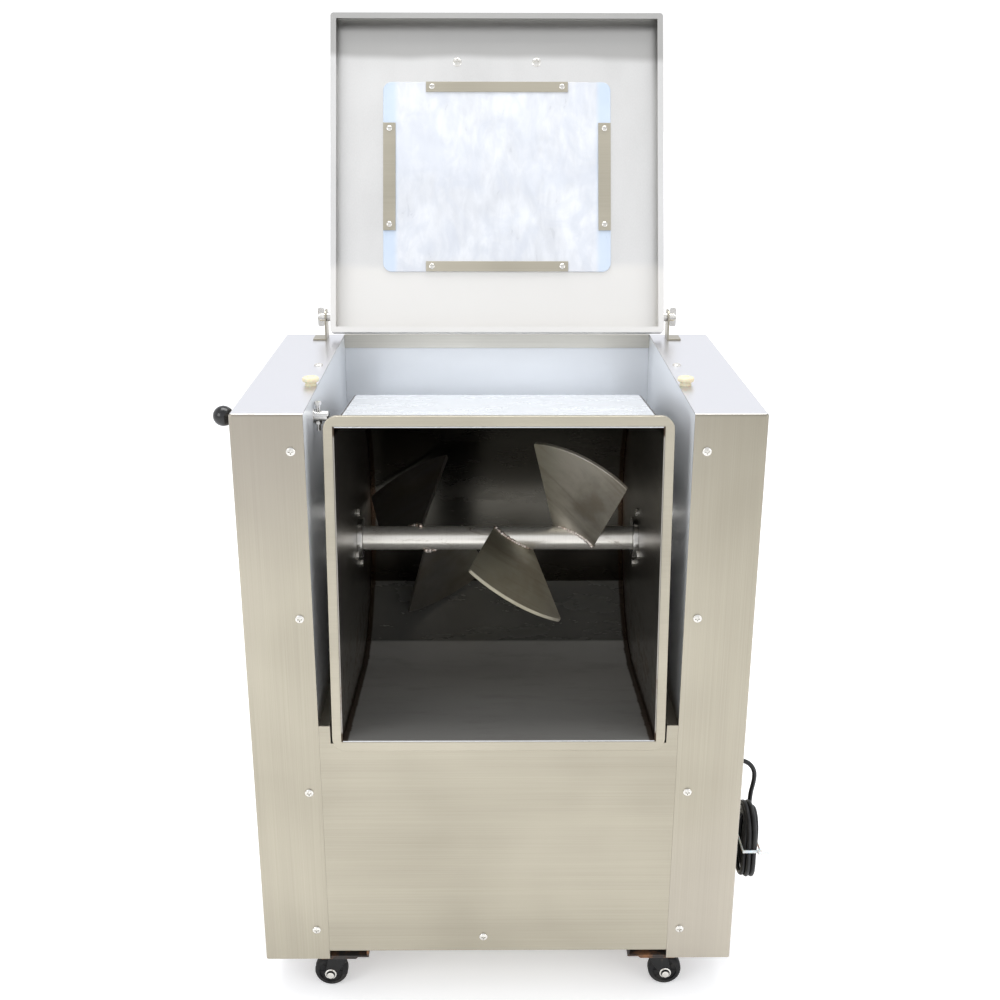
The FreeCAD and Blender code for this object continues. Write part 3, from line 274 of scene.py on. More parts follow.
class Finish(Nodes):
    """A material in the making."""

    def __init__(self, name):
        self.material = bpy.data.materials.new(name)
        self.material.use_nodes = True
        super().__init__(self.material.node_tree)
        self.surface = self.node("BsdfPrincipled")
        self.node("OutputMaterial", Surface=Signal(self, self.surface.outputs[0]))

    def put(self, **sockets):
        for key, source in sockets.items():
            self.feed(self.surface.inputs[key.replace("_", " ")], source)

    def coords(self, scale, turn=(0, 0, 0)):
        place = self.signal("TexCoord", output="Object")
        return self.signal("Mapping", Vector=place, Scale=scale, Rotation=turn)

    def noise(self, scale, detail=3, roughness=0.55, turn=(0, 0, 0), distortion=0.0):
        """Cloudy noise from 0 to 1; scale is one number, or three for streaks."""
        if isinstance(scale, (int, float)):
            scale = (scale, scale, scale)
        return self.signal("TexNoise", Vector=self.coords(scale, turn), Scale=1.0, Detail=detail,
                           Roughness=roughness, Distortion=distortion, output="Fac")

    def mix(self, factor, first, second):
        item = self.node("Mix", {"data_type": "RGBA", "clamp_factor": True}, factor)
        self.feed(item.inputs[6], first)
        self.feed(item.inputs[7], second)
        return Signal(self, item.outputs[2])

    def bump(self, height, strength, distance):
        self.put(Normal=self.signal("Bump", Height=height, Strength=strength, Distance=distance))

    def clouded(self, cloud, low, high, rough, rise, share=1.0, **sockets):
        """Tone and roughness that both follow one noise."""
        blend = cloud if share == 1.0 else cloud * share
        self.put(Base_Color=self.mix(blend, low, high), Roughness=rough + cloud * rise, **sockets)


# Brushed sheets

STREAKS = {"X": (3, 900, 900), "Y": (900, 3, 900), "Z": (900, 900, 3)}
BANDS = {"X": (0.7, 26, 26), "Y": (26, 0.7, 26), "Z": (26, 26, 0.7)}


def settings(group):
    return getattr(bpy.context.scene, "mixer_" + group)


def shade(colour, share):
    return tuple(channel * share for channel in colour)


def brushed(finish, along, light=1.0, dark=1.0, rougher=0.0, hair=0.35, grain=0.09):
    """Fine hair lines, wide soft bands and a little handling haze. Its two tones are colours, or shares
    of the casing's own. It gives back the colour, so that more can be laid over it."""
    casing = settings("casing")
    if not isinstance(light, tuple):
        light, dark = shade(casing.light, light), shade(casing.dark, dark)
    rough = casing.roughness + rougher
    lines = finish.noise(STREAKS[along], detail=4, roughness=0.7)
    bands = finish.noise(BANDS[along], detail=2)
    haze = finish.noise(4, detail=2, distortion=0.4)
    tone = lines * hair + bands * 0.2 + haze * (0.8 - hair)
    colour = finish.mix(tone.smooth(0.25, 0.75), dark, light)
    finish.put(Base_Color=colour, Metallic=1.0, Roughness=rough - 0.08 + lines * 0.1 + haze * 0.1)
    finish.bump(lines, grain, 0.15 * MM)
    return colour


def casing_steel(finish):
    """Warm on the upright faces and pale blue-white on top, as the sheet shows under a high soft light."""
    tone = brushed(finish, "Z")
    height = finish.axis("Z")
    cloud = finish.noise(2.2, detail=1)
    # Painted shade: the upper part of the upright faces is darkened
    upper = (height + cloud * 0.1).smooth(*TOWER_SHADE)
    tone = finish.mix(upper * 0.5, tone, shade(settings("casing").dark, 0.72))
    tone = finish.mix(cloud.smooth(0.45, 0.7) * 0.3, tone, (0.40, 0.36, 0.335))
    # Painted light: the top face is pale blue-white
    finish.put(Base_Color=finish.mix(height.smooth(*TOWER_TOP), tone, (0.67, 0.67, 0.695)))


def panel_steel(finish):
    brushed(finish, "X", 0.98, 0.98, 0.03)


def bright_side(finish, tone, share):
    """Lays a painted pale blue-white sheen, a painted reflection, over a share of the sheet that lies out of
    the light, and makes that share less metallic.
    """
    cloud = finish.noise((3, 3, 9), detail=2)
    sheen = finish.mix(cloud, (0.66, 0.69, 0.72), (0.86, 0.88, 0.91))
    finish.put(Base_Color=finish.mix(share, tone, sheen), Metallic=1.0 - share * 0.8)


def inner_plate_steel(finish):
    """A painted pale sheen beside the tub, and plain steel below the deck."""
    bright_side(finish, brushed(finish, "Z", 0.9, 0.9), finish.axis("Z").smooth(*PLATE_PAINTED_SHEEN))


def rear_panel_steel(finish):
    """A painted pale sheen on the side that faces the tub, plain steel outside."""
    bright_side(finish, brushed(finish, "X", rougher=0.03), finish.axis("Y").smooth(*PANEL_PAINTED_SHEEN))


def rail_steel(finish):
    brushed(finish, "X", (0.70, 0.68, 0.62), (0.50, 0.48, 0.43), 0.08)


def plain_steel(finish):
    """The deck and the base, duller than the casing."""
    brushed(finish, "X", 0.85, 0.8, 0.08)


def rim_steel(finish):
    brushed(finish, "X", 1.08, 1.1, 0.02, hair=0.25)


def lid_steel(finish):
    """Inside, painted shade as a grey field at the free end and painted light as a pale warm field at the
    hinges; plain outside.
    """
    tone = brushed(finish, "Z", (0.74, 0.735, 0.72), (0.62, 0.615, 0.60), 0.02)
    height = finish.axis("Z") + finish.noise(5, detail=2) * 0.02
    lower = height.smooth(*LID_PAINTED_LIGHT)
    # Painted shade: a grey field over the free end
    colour = finish.mix(height.smooth(*LID_PAINTED_SHADE) * 0.85, tone, (0.42, 0.415, 0.40))
    # Painted light: a pale warm field over the hinge end, which is also made less metallic
    colour = finish.mix(lower * 0.85, colour, (0.70, 0.685, 0.655))
    outer_face = min(vert.co.dot(LID_INWARD) for vert in frame["nodes"]["lid_panel"].data.vertices)
    depth = finish.axis("Y") * LID_INWARD.y + finish.axis("Z") * LID_INWARD.z - outer_face
    inside = depth.smooth(0.5 * MM, 1.0 * MM)
    casing = settings("casing")
    plain = finish.mix(finish.noise(4, detail=2), shade(casing.dark, 1.2), shade(casing.light, 1.15))
    finish.put(Base_Color=finish.mix(inside, plain, colour), Metallic=1.0 - inside * lower * 0.45)


# The tub and its shaft

def tub_places(finish):
    """A point's place across and down the trough, and its reach from the axis."""
    back, up = finish.axis("Y") - TUB_AXIS[0], finish.axis("Z") - TUB_AXIS[1]
    lean_cos, lean_sin = math.cos(TUB_LEAN), math.sin(TUB_LEAN)
    across = back * lean_cos + up * lean_sin
    deep = up * lean_cos - back * lean_sin
    below = deep.combine("MINIMUM", deep, 0.0)
    return across, deep, (across * across + below * below) ** 0.5


def tub_steel(finish):
    """Bright outside under a painted sheen; inside, painted shade: a dark back and steps of tone down to a
    floor made paler with painted light, with marks on it, and stained seams.
    """
    tone = brushed(finish, "X", (0.80, 0.80, 0.79), (0.68, 0.675, 0.66), hair=0.15, grain=0.03)
    across, deep, radius = tub_places(finish)
    inside = radius.smooth(TUB_SKIN + 0.4 * MM, TUB_SKIN - 0.4 * MM)
    marks = finish.noise((9, 30, 30), detail=5, roughness=0.65).smooth(0.48, 0.75)
    # Painted shade: the back of the inside is dark, and darker still in a band at its foot
    back = finish.mix(finish.noise(3, detail=2), (0.055, 0.05, 0.04), (0.13, 0.125, 0.11))
    colour = finish.mix(across.smooth(*BACK_FOOT), back, (0.04, 0.036, 0.03))
    # Painted shade, lighter: a step of tone below the back
    lower = across.smooth(*STEP_TOP)
    colour = finish.mix(lower, colour, (0.20, 0.197, 0.18))
    # Painted light: the floor is paler; worn holds this painted light, with real marks laid over it
    floor = across.smooth(*FLOOR_EDGE)
    worn = finish.mix(deep.smooth(0.0, 0.2), (0.42, 0.41, 0.385), (0.30, 0.295, 0.28))
    worn = finish.mix(marks * 0.22, worn, (0.14, 0.12, 0.10))
    colour = finish.mix(floor, colour, worn)
    seam = (abs(finish.axis("X")) + marks * 0.002).smooth(*TROUGH_SEAM)
    colour = finish.mix(seam * 0.92, colour, SEAM_STAIN)
    # Painted reflection: a pale blue-white sheen laid over the outside
    sheen = finish.mix(finish.noise(3, detail=1), (0.66, 0.69, 0.73), (0.80, 0.83, 0.87))
    finish.put(Base_Color=finish.mix(inside, finish.mix(0.93, tone, sheen), colour),
               Metallic=0.4 + inside * 0.6 - inside * lower * 0.4 - inside * floor * 0.15,
               Roughness=settings("casing").roughness - 0.05 + marks * 0.1 + inside * floor * 0.18)


def end_plate_steel(finish):
    """The tub's flat ends: dark inside with painted shade, with a stained line along the seam and marks low
    down.
    """
    # Painted shade: the plates' dark tone stands for the shade inside the tub
    tone = brushed(finish, "Y", (0.36, 0.34, 0.31), (0.21, 0.198, 0.175))
    across, _, radius = tub_places(finish)
    spots = finish.noise((30, 30, 60), detail=6, roughness=0.7).smooth(0.45, 0.66)
    low = across.smooth(*MARKS_TOP)
    edge = (radius + spots * 0.003).smooth(*END_SEAM)
    colour = finish.mix(low * spots * 0.5, tone, settings("tub").stain[:])
    finish.put(Base_Color=finish.mix(edge * 0.92, colour, SEAM_STAIN),
               Roughness=settings("casing").roughness + spots * low * 0.2)


def turned_steel(finish):
    """Turned and polished: bright, with fine rings left by the tool."""
    rings = finish.noise((1400, 40, 40), detail=2)
    haze = finish.noise(22, detail=3)
    finish.put(Base_Color=finish.mix(haze, (0.5, 0.49, 0.47), (0.78, 0.77, 0.75)), Metallic=1.0,
               Roughness=0.14 + rings * 0.08 + haze * 0.12)
    finish.bump(rings, 0.08, 0.1 * MM)


def shaft_steel(finish):
    """The shaft's tube: satin steel with burnt brown marks near the welds."""
    rings = finish.noise((900, 60, 60), detail=3)
    marks = finish.noise((16, 40, 40), detail=6, roughness=0.7, distortion=1.2).smooth(0.54, 0.74)
    tone = finish.mix(rings * 0.6, (0.74, 0.71, 0.65), (0.94, 0.92, 0.87))
    finish.put(Base_Color=finish.mix(marks * 0.7, tone, settings("tub").stain[:]), Metallic=0.75,
               Roughness=0.26 + marks * 0.22 + rings * 0.06)
    finish.bump(rings, 0.1, 0.1 * MM)


def paddle_steel(finish):
    """Ground plate, nearly black on the left and olive to grey-beige on the right, with worn patches."""
    lines = finish.noise((260, 260, 14), detail=4, turn=(0.4, 0.7, 0.2))
    film = finish.noise(8, detail=5, roughness=0.6, distortion=0.5)
    bars = finish.noise((6, 70, 6), detail=3, turn=(0.6, 0.0, 0.5)).smooth(0.5, 0.7)
    worn = finish.noise((14, 9, 9), detail=4, turn=(0.3, 0.2, 0.9)).smooth(0.5, 0.72)
    side = finish.axis("X")
    middle = side.smooth(*PADDLE_MIDDLE)
    clean = finish.mix(middle, (0.16, 0.15, 0.135), (0.34, 0.32, 0.245))
    clean = finish.mix(side.smooth(*PADDLE_RIGHT), clean, (0.52, 0.49, 0.42))
    tone = finish.mix(film.smooth(0.4, 0.75) * 0.7, clean, (0.16, 0.13, 0.09))
    tone = finish.mix(bars * 0.35, tone, (0.14, 0.115, 0.08))
    bare = finish.mix(middle, (0.24, 0.23, 0.21), (0.56, 0.54, 0.49))
    finish.put(Base_Color=finish.mix(worn * 0.35, tone, bare), Metallic=0.75,
               Roughness=0.34 + film * 0.2 + lines * 0.08 - worn * 0.06)
    finish.bump(lines + film * 2, 0.12, 0.15 * MM)


def weld_metal(finish):
    """Bright lumpy weld, brown at its borders."""
    cloud = finish.noise(60, detail=3)
    stops = ((0.3, (0.20, 0.12, 0.08)), (0.42, (0.62, 0.50, 0.42)), (0.58, (0.88, 0.82, 0.77)),
             (0.75, (0.45, 0.36, 0.30)))
    heat = finish.signal("ValToRGB", {"stops": stops}, cloud)
    finish.put(Base_Color=heat, Metallic=1.0, Roughness=0.3 + cloud * 0.3)


# Other metals, paints, rubbers and the window

def bright_zinc(finish):
    cloud = finish.noise(180, detail=4)
    spots = finish.noise(420, detail=2).smooth(0.62, 0.72)
    clean = finish.mix(cloud, (0.55, 0.53, 0.48), (0.8, 0.79, 0.76))
    finish.put(Base_Color=finish.mix(spots * 0.6, clean, (0.22, 0.13, 0.07)), Metallic=1.0,
               Roughness=0.18 + cloud * 0.16 + spots * 0.3)


def rusty_iron(finish):
    """Black mill iron with rust breaking through."""
    rust = finish.noise(38, detail=8, roughness=0.72).smooth(0.42, 0.62)
    fine = finish.noise(240, detail=4)
    brown = finish.mix(fine, (0.09, 0.035, 0.015), (0.30, 0.14, 0.055))
    finish.clouded(rust, (0.035, 0.03, 0.028), brown, 0.62, 0.25, Metallic=0.35 - rust * 0.35)
    finish.bump(rust + fine * 0.4, 0.5, 0.5 * MM)


def cast_paint(finish):
    finish.clouded(finish.noise(9, detail=4), (0.05, 0.075, 0.10), (0.085, 0.12, 0.155), 0.42, 0.15)
    pores = finish.signal("TexVoronoi", Vector=finish.coords((420, 420, 420)), Scale=1.0, output="Distance")
    finish.bump(pores, 0.25, 0.4 * MM)


def oiled_steel(finish):
    finish.clouded(finish.noise(45, detail=5), (0.06, 0.052, 0.045), (0.26, 0.24, 0.21), 0.25, 0.25,
                   Coat_Weight=0.3, Metallic=0.9)
    finish.bump(finish.noise((20, 130, 130), detail=1), 0.3, 0.4 * MM)


def window_film(finish):
    """Clear sheet under a cloudy blue-white film, with wipe marks and a paler field over the opening."""
    edge = abs(finish.axis("X")).smooth(*WINDOW_EDGE)
    wipe = finish.noise((70, 70, 5), detail=4, distortion=0.5)
    cloud = finish.noise(7, detail=4, distortion=1.0)
    folds = finish.noise((14, 14, 9), detail=5, roughness=0.6, distortion=1.4).smooth(0.42, 0.66)
    haze = (wipe * 0.4 + cloud * 0.6).smooth(0.3, 0.7)
    middle = finish.mix(haze, (0.50, 0.515, 0.545), (0.66, 0.675, 0.70))
    middle = finish.mix(folds * 0.5, middle, (0.47, 0.50, 0.56))
    border = finish.mix(cloud, (0.36, 0.46, 0.60), (0.56, 0.63, 0.72))
    finish.put(Base_Color=finish.mix(edge * 0.85, middle, border), Roughness=0.22 + wipe * 0.18,
               Coat_Weight=0.4, Coat_Roughness=0.12)
    finish.bump(cloud + wipe * 0.15, 0.12, 1.2 * MM)


def cream_rubber(finish):
    cloud = finish.noise(140, detail=4)
    bumper = settings("fittings").bumper[:]
    finish.clouded(cloud, shade(bumper, 0.7), bumper, 0.5, 0.2, Subsurface_Weight=0.15)
    finish.bump(cloud, 0.15, 0.2 * MM)


def black_gloss(finish):
    dust = finish.noise(120, detail=4).smooth(0.5, 0.8)
    finish.clouded(dust, (0.008, 0.008, 0.009), (0.05, 0.05, 0.048), 0.16, 0.25, share=0.5)
    finish.bump(dust, 0.05, 0.1 * MM)


def black_paint(finish):
    orange_peel = finish.noise(380, detail=2)
    worn = finish.noise(70, detail=6, roughness=0.7).smooth(0.6, 0.72)
    finish.put(Base_Color=finish.mix(worn * 0.6, (0.007, 0.007, 0.007), (0.11, 0.085, 0.06)),
               Roughness=0.3 + worn * 0.3 + orange_peel * 0.08, Specular_IOR_Level=0.28)
    finish.bump(orange_peel, 0.15, 0.2 * MM)


def tyre_rubber(finish):
    dust = finish.noise(60, detail=5).smooth(0.45, 0.75)
    finish.clouded(dust, (0.009, 0.009, 0.0095), (0.075, 0.07, 0.062), 0.62, 0.2, share=0.4,
                   Specular_IOR_Level=0.25)
    finish.bump(finish.noise(700, detail=2), 0.2, 0.15 * MM)


def cord_rubber(finish):
    dust = finish.noise(90, detail=4).smooth(0.5, 0.8)
    finish.clouded(dust, (0.012, 0.012, 0.013), (0.06, 0.058, 0.055), 0.42, 0.25, share=0.4,
                   Specular_IOR_Level=0.32)
    finish.bump(finish.noise(900, detail=2), 0.12, 0.1 * MM)


def white_nylon(finish):
    finish.clouded(finish.noise(200, detail=3), (0.72, 0.72, 0.70), (0.88, 0.88, 0.87), 0.35, 0.15,
                   Subsurface_Weight=0.2)


def brass(finish):
    finish.clouded(finish.noise(150, detail=3), (0.5, 0.36, 0.16), (0.78, 0.62, 0.32), 0.2, 0.15,
                   Metallic=1.0)


FINISHES = {}


def finish_of(maker):
    """Each finish is made once, under its maker's name, and then shared."""
    if maker not in FINISHES:
        finish = Finish(maker.__name__)
        maker(finish)
        FINISHES[maker] = finish.material
    return FINISHES[maker]


# Making pieces

def add_piece(name, mesh, maker, body, nodes=()):
    piece = bpy.data.objects.new(name, mesh)
    bpy.context.scene.collection.objects.link(piece)
    mesh.materials.clear()
    mesh.materials.append(finish_of(maker))
    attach(piece, body)
    if nodes:
        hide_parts(*nodes)
    return piece


def piece_of(name, bm, maker, body, nodes=(), sharp=40):
    """Turns a bmesh into a smooth shaded piece whose edges over the given angle stay sharp."""
    limit = math.radians(sharp)
    for face in bm.faces:
        face.smooth = True
    for edge in bm.edges:
        edge.smooth = len(edge.link_faces) != 2 or edge.calc_face_angle(0) < limit
    mesh = bpy.data.meshes.new(name)
    bm.to_mesh(mesh)
    bm.free()
    return add_piece(name, mesh, maker, body, nodes)


def merged_copy(node):
    """The node's solids with their loose triangles joined and their flat faces made whole."""
    bm = bmesh.new()
    bm.from_mesh(frame["nodes"][node].data)
    bmesh.ops.remove_doubles(bm, verts=bm.verts, dist=1e-6)
    bmesh.ops.dissolve_limit(bm, angle_limit=math.radians(0.4), verts=bm.verts, edges=bm.edges)
    return bm


def dress(node, maker, edge, segments=2, angle=30):
    """A finished copy of a CAD node: broken edges that catch the light, and its finish."""
    name = node + "_finished"
    mesh = bpy.data.meshes.new(name)
    bm = merged_copy(node)
    for face in bm.faces:
        face.smooth = True
    bm.to_mesh(mesh)
    bm.free()
    piece = add_piece(name, mesh, maker, frame["nodes"][node]["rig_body"], (node,))
    bevel = piece.modifiers.new("edges", "BEVEL")
    bevel.width = edge
    bevel.segments = segments
    bevel.limit_method = "ANGLE"
    bevel.angle_limit = math.radians(angle)
    bevel.use_clamp_overlap = True
    even = piece.modifiers.new("even_faces", "WEIGHTED_NORMAL")
    even.mode = "FACE_AREA"
    even.weight = 100
    return piece


def dress_all(maker, slot, edge, *nodes, segments=2):
    for node in nodes:
        dress(node, maker, edge, segments)


def solids(node):
    """The lowest and highest corner of each separate solid of a node."""
    bm = merged_copy(node)
    left = set(bm.verts)
    found = []
    while left:
        start = left.pop()
        group, border = [start], [start]
        while border:
            vert = border.pop()
            for edge in vert.link_edges:
                other = edge.other_vert(vert)
                if other in left:
                    left.discard(other)
                    group.append(other)
                    border.append(other)
        low = Vector([min(v.co[i] for v in group) for i in range(3)])
        high = Vector([max(v.co[i] for v in group) for i in range(3)])
        found.append((low, high))
    bm.free()
    return sorted(found, key=lambda pair: tuple(round(c, 4) for c in pair[0]))


def facing(normal, centre):
    """The matrix that lays local +Z along a normal at a place."""
    return Matrix.Translation(centre) @ normal.to_track_quat("Z", "Y").to_matrix().to_4x4()


def mm(*pairs):
    """Pairs given in millimetres, in metres."""
    return [(first * MM, second * MM) for first, second in pairs]


def lathe(bm, outline, matrix, steps=48):
    """Spins an outline of (radius, height) pairs round the matrix's own Z."""
    verts = [bm.verts.new((radius, 0, height)) for radius, height in outline]
    edges = [bm.edges.new(pair) for pair in zip(verts, verts[1:])]
    bmesh.ops.spin(bm, geom=verts + edges, cent=(0, 0, 0), axis=(0, 0, 1), angle=2 * math.pi, steps=steps,
                   use_merge=True)
    bmesh.ops.remove_doubles(bm, verts=[v for v in bm.verts if not v.tag], dist=1e-6)
    place_fresh(bm, matrix)


def place_fresh(bm, matrix):
    """Turns the latest shape outside out, moves it to its place and marks it as settled."""
    fresh = [v for v in bm.verts if not v.tag]
    faces = list({face for v in fresh for face in v.link_faces})
    bmesh.ops.recalc_face_normals(bm, faces=faces)
    bmesh.ops.transform(bm, matrix=matrix, verts=fresh)
    settle(bm)


def settle(bm):
    """Marks what is in place, so that the next shape is moved alone."""
    for vert in bm.verts:
        vert.tag = True


def screw_head(bm, matrix, radius, height, recess, cells=14):
    """A domed head with a cross recess, from a grid that is drawn out to a disc."""
    grid = bmesh.ops.create_grid(bm, x_segments=cells, y_segments=cells, size=1)["verts"]
    arm, reach, taper = 0.16, 0.62, 0.82
    brim = 0.45
    cross = []
    for face in list({face for vert in grid for face in vert.link_faces}):
        middle = face.calc_center_median()
        low, high = sorted((abs(middle.x), abs(middle.y)))
        if low < arm and high < reach:
            cross.append(face)
    for vert in grid:
        x, y = vert.co.x, vert.co.y
        u, v = x * math.sqrt(1 - y * y / 2), y * math.sqrt(1 - x * x / 2)
        away = min(1.0, math.hypot(u, v))
        dome = brim + (1 - brim) * math.sqrt(1 - away ** 2 * 0.999)
        vert.co = Vector((u * radius, v * radius, height * dome))
    sunk = bmesh.ops.extrude_face_region(bm, geom=cross)["geom"]
    bmesh.ops.delete(bm, geom=cross, context="FACES_ONLY")
    floor = [item for item in sunk if isinstance(item, bmesh.types.BMVert)]
    for vert in floor:
        vert.co.z -= height * recess
        vert.co.x *= taper
        vert.co.y *= taper
    fresh = [v for v in bm.verts if not v.tag]
    border = [e for v in fresh for e in v.link_edges if e.is_boundary]
    skirt = bmesh.ops.extrude_edge_only(bm, edges=list(set(border)))["geom"]
    for item in skirt:
        if isinstance(item, bmesh.types.BMVert):
            item.co.z = 0.0
    place_fresh(bm, matrix)


def rounded_box(bm, low, high, edge, segments=3):
    """A box between two corners with rounded edges."""
    low, high = Vector(low), Vector(high)
    verts = bmesh.ops.create_cube(bm, size=1)["verts"]
    bmesh.ops.scale(bm, vec=high - low, verts=verts)
    bmesh.ops.translate(bm, vec=(low + high) / 2, verts=verts)
    edges = list({e for v in verts for e in v.link_edges})
    bmesh.ops.bevel(bm, geom=edges, offset=edge, offset_type="OFFSET", segments=segments, profile=0.5,
                    affect="EDGES", material=-1, clamp_overlap=True)
    settle(bm)


# Pieces of the cabinet

def make_casing():
    fold = settings("casing").fold
    dress_all(casing_steel, "casing_steel", fold, "tower_cover_left", "tower_cover_right")
    dress_all(inner_plate_steel, "casing_steel", fold / 2, "inner_plate_left", "inner_plate_right")
    dress_all(panel_steel, "casing_steel", fold / 2, "front_panel")
    dress_all(rear_panel_steel, "casing_steel", fold / 2, "rear_panel")
    dress_all(rail_steel, "rail_steel", fold / 2, "rear_rail")
    dress_all(plain_steel, "casing_steel", fold / 2, "deck_plate", "deck_rails", "base_plate")
    dress_all(rusty_iron, "frame_iron", fold / 2, "base_channels", "caster_plates")


def make_drive():
    edge = settings("fittings").edge
    dress_all(cast_paint, "drive_casting", edge, "gearbox", "drive_motor")
    dress_all(oiled_steel, "chain_steel", edge, "drive_chain", "shaft_sprocket", "output_sprocket",
              "output_shaft")


# Pieces of the tub

def make_tub():
    edge = settings("fittings").edge
    dress_all(tub_steel, "tub_steel", edge, "tub_trough")
    dress_all(end_plate_steel, "tub_steel", edge, "tub_end_left", "tub_end_right")
    dress_all(rim_steel, "tub_steel", settings("tub").rim_round, "tub_rim", segments=4)
    dress_all(turned_steel, "turned_steel", edge * 1.6, "tub_trunnions", "seal_collars", "bearing_housings",
              segments=3)


def make_shaft():
    edge = settings("fittings").edge
    dress_all(shaft_steel, "turned_steel", edge, "mixing_shaft")
    for number in PADDLES:
        dress("paddle_%d" % number, paddle_steel, edge * 2, segments=3)


def paddle_frame(node):
    """Where a paddle crosses the shaft: the centre, the ways along its foot and outwards, its normal."""
    bm = merged_copy(node)
    bm.faces.ensure_lookup_table()
    flat = max(bm.faces, key=lambda face: face.calc_area())
    normal = flat.normal.copy()
    axis_low, axis_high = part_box("mixing_shaft")
    centre = (axis_low + axis_high) / 2
    points = [v.co.copy() for v in bm.verts]
    bm.free()
    middle = sum(points, Vector()) / len(points)
    outward = middle - centre
    outward.x = 0
    outward = (outward - normal * outward.dot(normal)).normalized()
    across = normal.cross(outward).normalized()
    near = middle + (centre - middle).dot(outward) * outward
    plate = (near - centre).dot(X)
    return Vector((centre.x + plate, centre.y, centre.z)), across, outward, normal


def make_welds():
    """A rippled bead on each face of each paddle, along the line where it meets the tube."""
    tub = settings("tub")
    tube = 18 * MM
    half_plate = 2.5 * MM
    for number in PADDLES:
        centre, across, outward, normal = paddle_frame("paddle_%d" % number)
        slope = math.sqrt(max(0.0, 1 - across.x ** 2))
        reach = tube / max(slope, 0.2) * 0.985
        bm = bmesh.new()
        for face in (-1, 1):
            for i in range(tub.bead_count + 1):
                along = reach * math.sin(math.pi * (i / tub.bead_count - 0.5))
                rise = math.sqrt(max(0.0, tube ** 2 - (along * slope) ** 2))
                spot = centre + across * along + outward * (rise + 0.4 * MM) + normal * face * half_plate
                radius = tub.bead * (1 + 0.22 * math.sin(2.4 * i + number))
                ripple = bmesh.ops.create_icosphere(bm, subdivisions=2, radius=radius)["verts"]
                bmesh.ops.translate(bm, vec=spot, verts=ripple)
        piece_of("weld_%d" % number, bm, weld_metal, SHAFT, sharp=70)


# Pieces of the lid

def make_lid():
    fold = settings("casing").fold
    dress("lid_panel", lid_steel, fold)
    dress("lid_window", window_film, fold)
    dress("window_strips", rim_steel, fold / 3)
    dress("lid_handle", turned_steel, fold / 4, angle=60)
    dress("hinge_brackets", panel_steel, fold / 2)
    dress("hinge_bolts", bright_zinc, fold / 2)


# Fasteners and small fittings

# Outlines in shares of a button's radius and height
RIVET = ((1, 0), (1, 0.25), (0.93, 0.55), (0.78, 0.8), (0.5, 0.95), (0, 1))
BUMPER = ((0.74, 0), (0.7, 0.08), (0.66, 0.2), (0.66, 0.38), (0.9, 0.44), (1, 0.52), (1, 0.78), (0.94, 0.9),
          (0.8, 0.97), (0.45, 1), (0.4, 0.93), (0, 0.93))


def make_screws():
    """Cross-recessed heads in place of every plain head."""
    recess = settings("fittings").recess
    bm = bmesh.new()
    for low, high in solids("casing_screws"):
        centre, size = (low + high) / 2, high - low
        normal = Y if centre.y > 0 else -Y
        centre.y = low.y if centre.y > 0 else high.y
        screw_head(bm, facing(normal, centre), size.x / 2, size.y, recess)
    piece_of("casing_screw_heads", bm, bright_zinc, CABINET, ("casing_screws",))
    bm = bmesh.new()
    thick = 2 * MM
    for low, high in solids("lid_screws"):
        foot = (low + high) / 2 - LID_INWARD * thick / 2
        screw_head(bm, facing(LID_INWARD, foot), (high - low).x / 2, thick, recess)
    piece_of("lid_screw_heads", bm, bright_zinc, LID, ("lid_screws",))


def make_buttons(node, name, outline, maker, sharp=40):
    """Turned buttons on the towers' tops, in place of a node's plain ones."""
    bm = bmesh.new()
    for low, high in solids(node):
        foot, size = (low + high) / 2, high - low
        foot.z = low.z
        lathe(bm, [(size.x / 2 * reach, size.z * height) for reach, height in outline], facing(Z, foot))
    piece_of(name, bm, maker, CABINET, (node,), sharp)


def make_rivets():
    make_buttons("top_rivets", "top_rivet_heads", RIVET, bright_zinc)


def make_bumpers():
    """Stepped cream buttons that the lid comes down on."""
    make_buttons("lid_bumpers", "lid_bumper_buttons", BUMPER, cream_rubber, 50)


def make_bolts():
    edge = settings("fittings").edge
    dress_all(bright_zinc, "fastener_steel", edge * 1.5, "bearing_bolts", "seal_bolts", segments=3)


def make_lock_bolt():
    """The bolt's rod, its bushes and the black ball with a moulding line."""
    dress_all(turned_steel, "turned_steel", settings("fittings").edge, "lock_rod", "lock_bushes")
    low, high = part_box("ball_knob")
    centre, r = (low + high) / 2, (high.y - low.y) / 2
    steps, shrink, line, neck = 24, 0.15 * MM, 0.12 * MM, 8 * MM
    outline = []
    for i in range(steps + 1):
        angle = math.pi * i / steps
        ball = r - shrink + (line if i == steps / 2 else 0.0)
        outline.append((ball * math.sin(angle), -r * math.cos(angle)))
    outline = [pair for pair in outline if pair[1] < r * 0.82]
    outline += [(neck, r * 0.84), (neck * 0.93, r), (7.05 * MM, r)]
    bm = bmesh.new()
    lathe(bm, outline, facing(X, centre), steps=64)
    piece_of("ball_knob_moulded", bm, black_gloss, LOCK, ("ball_knob",), sharp=50)


# Casters

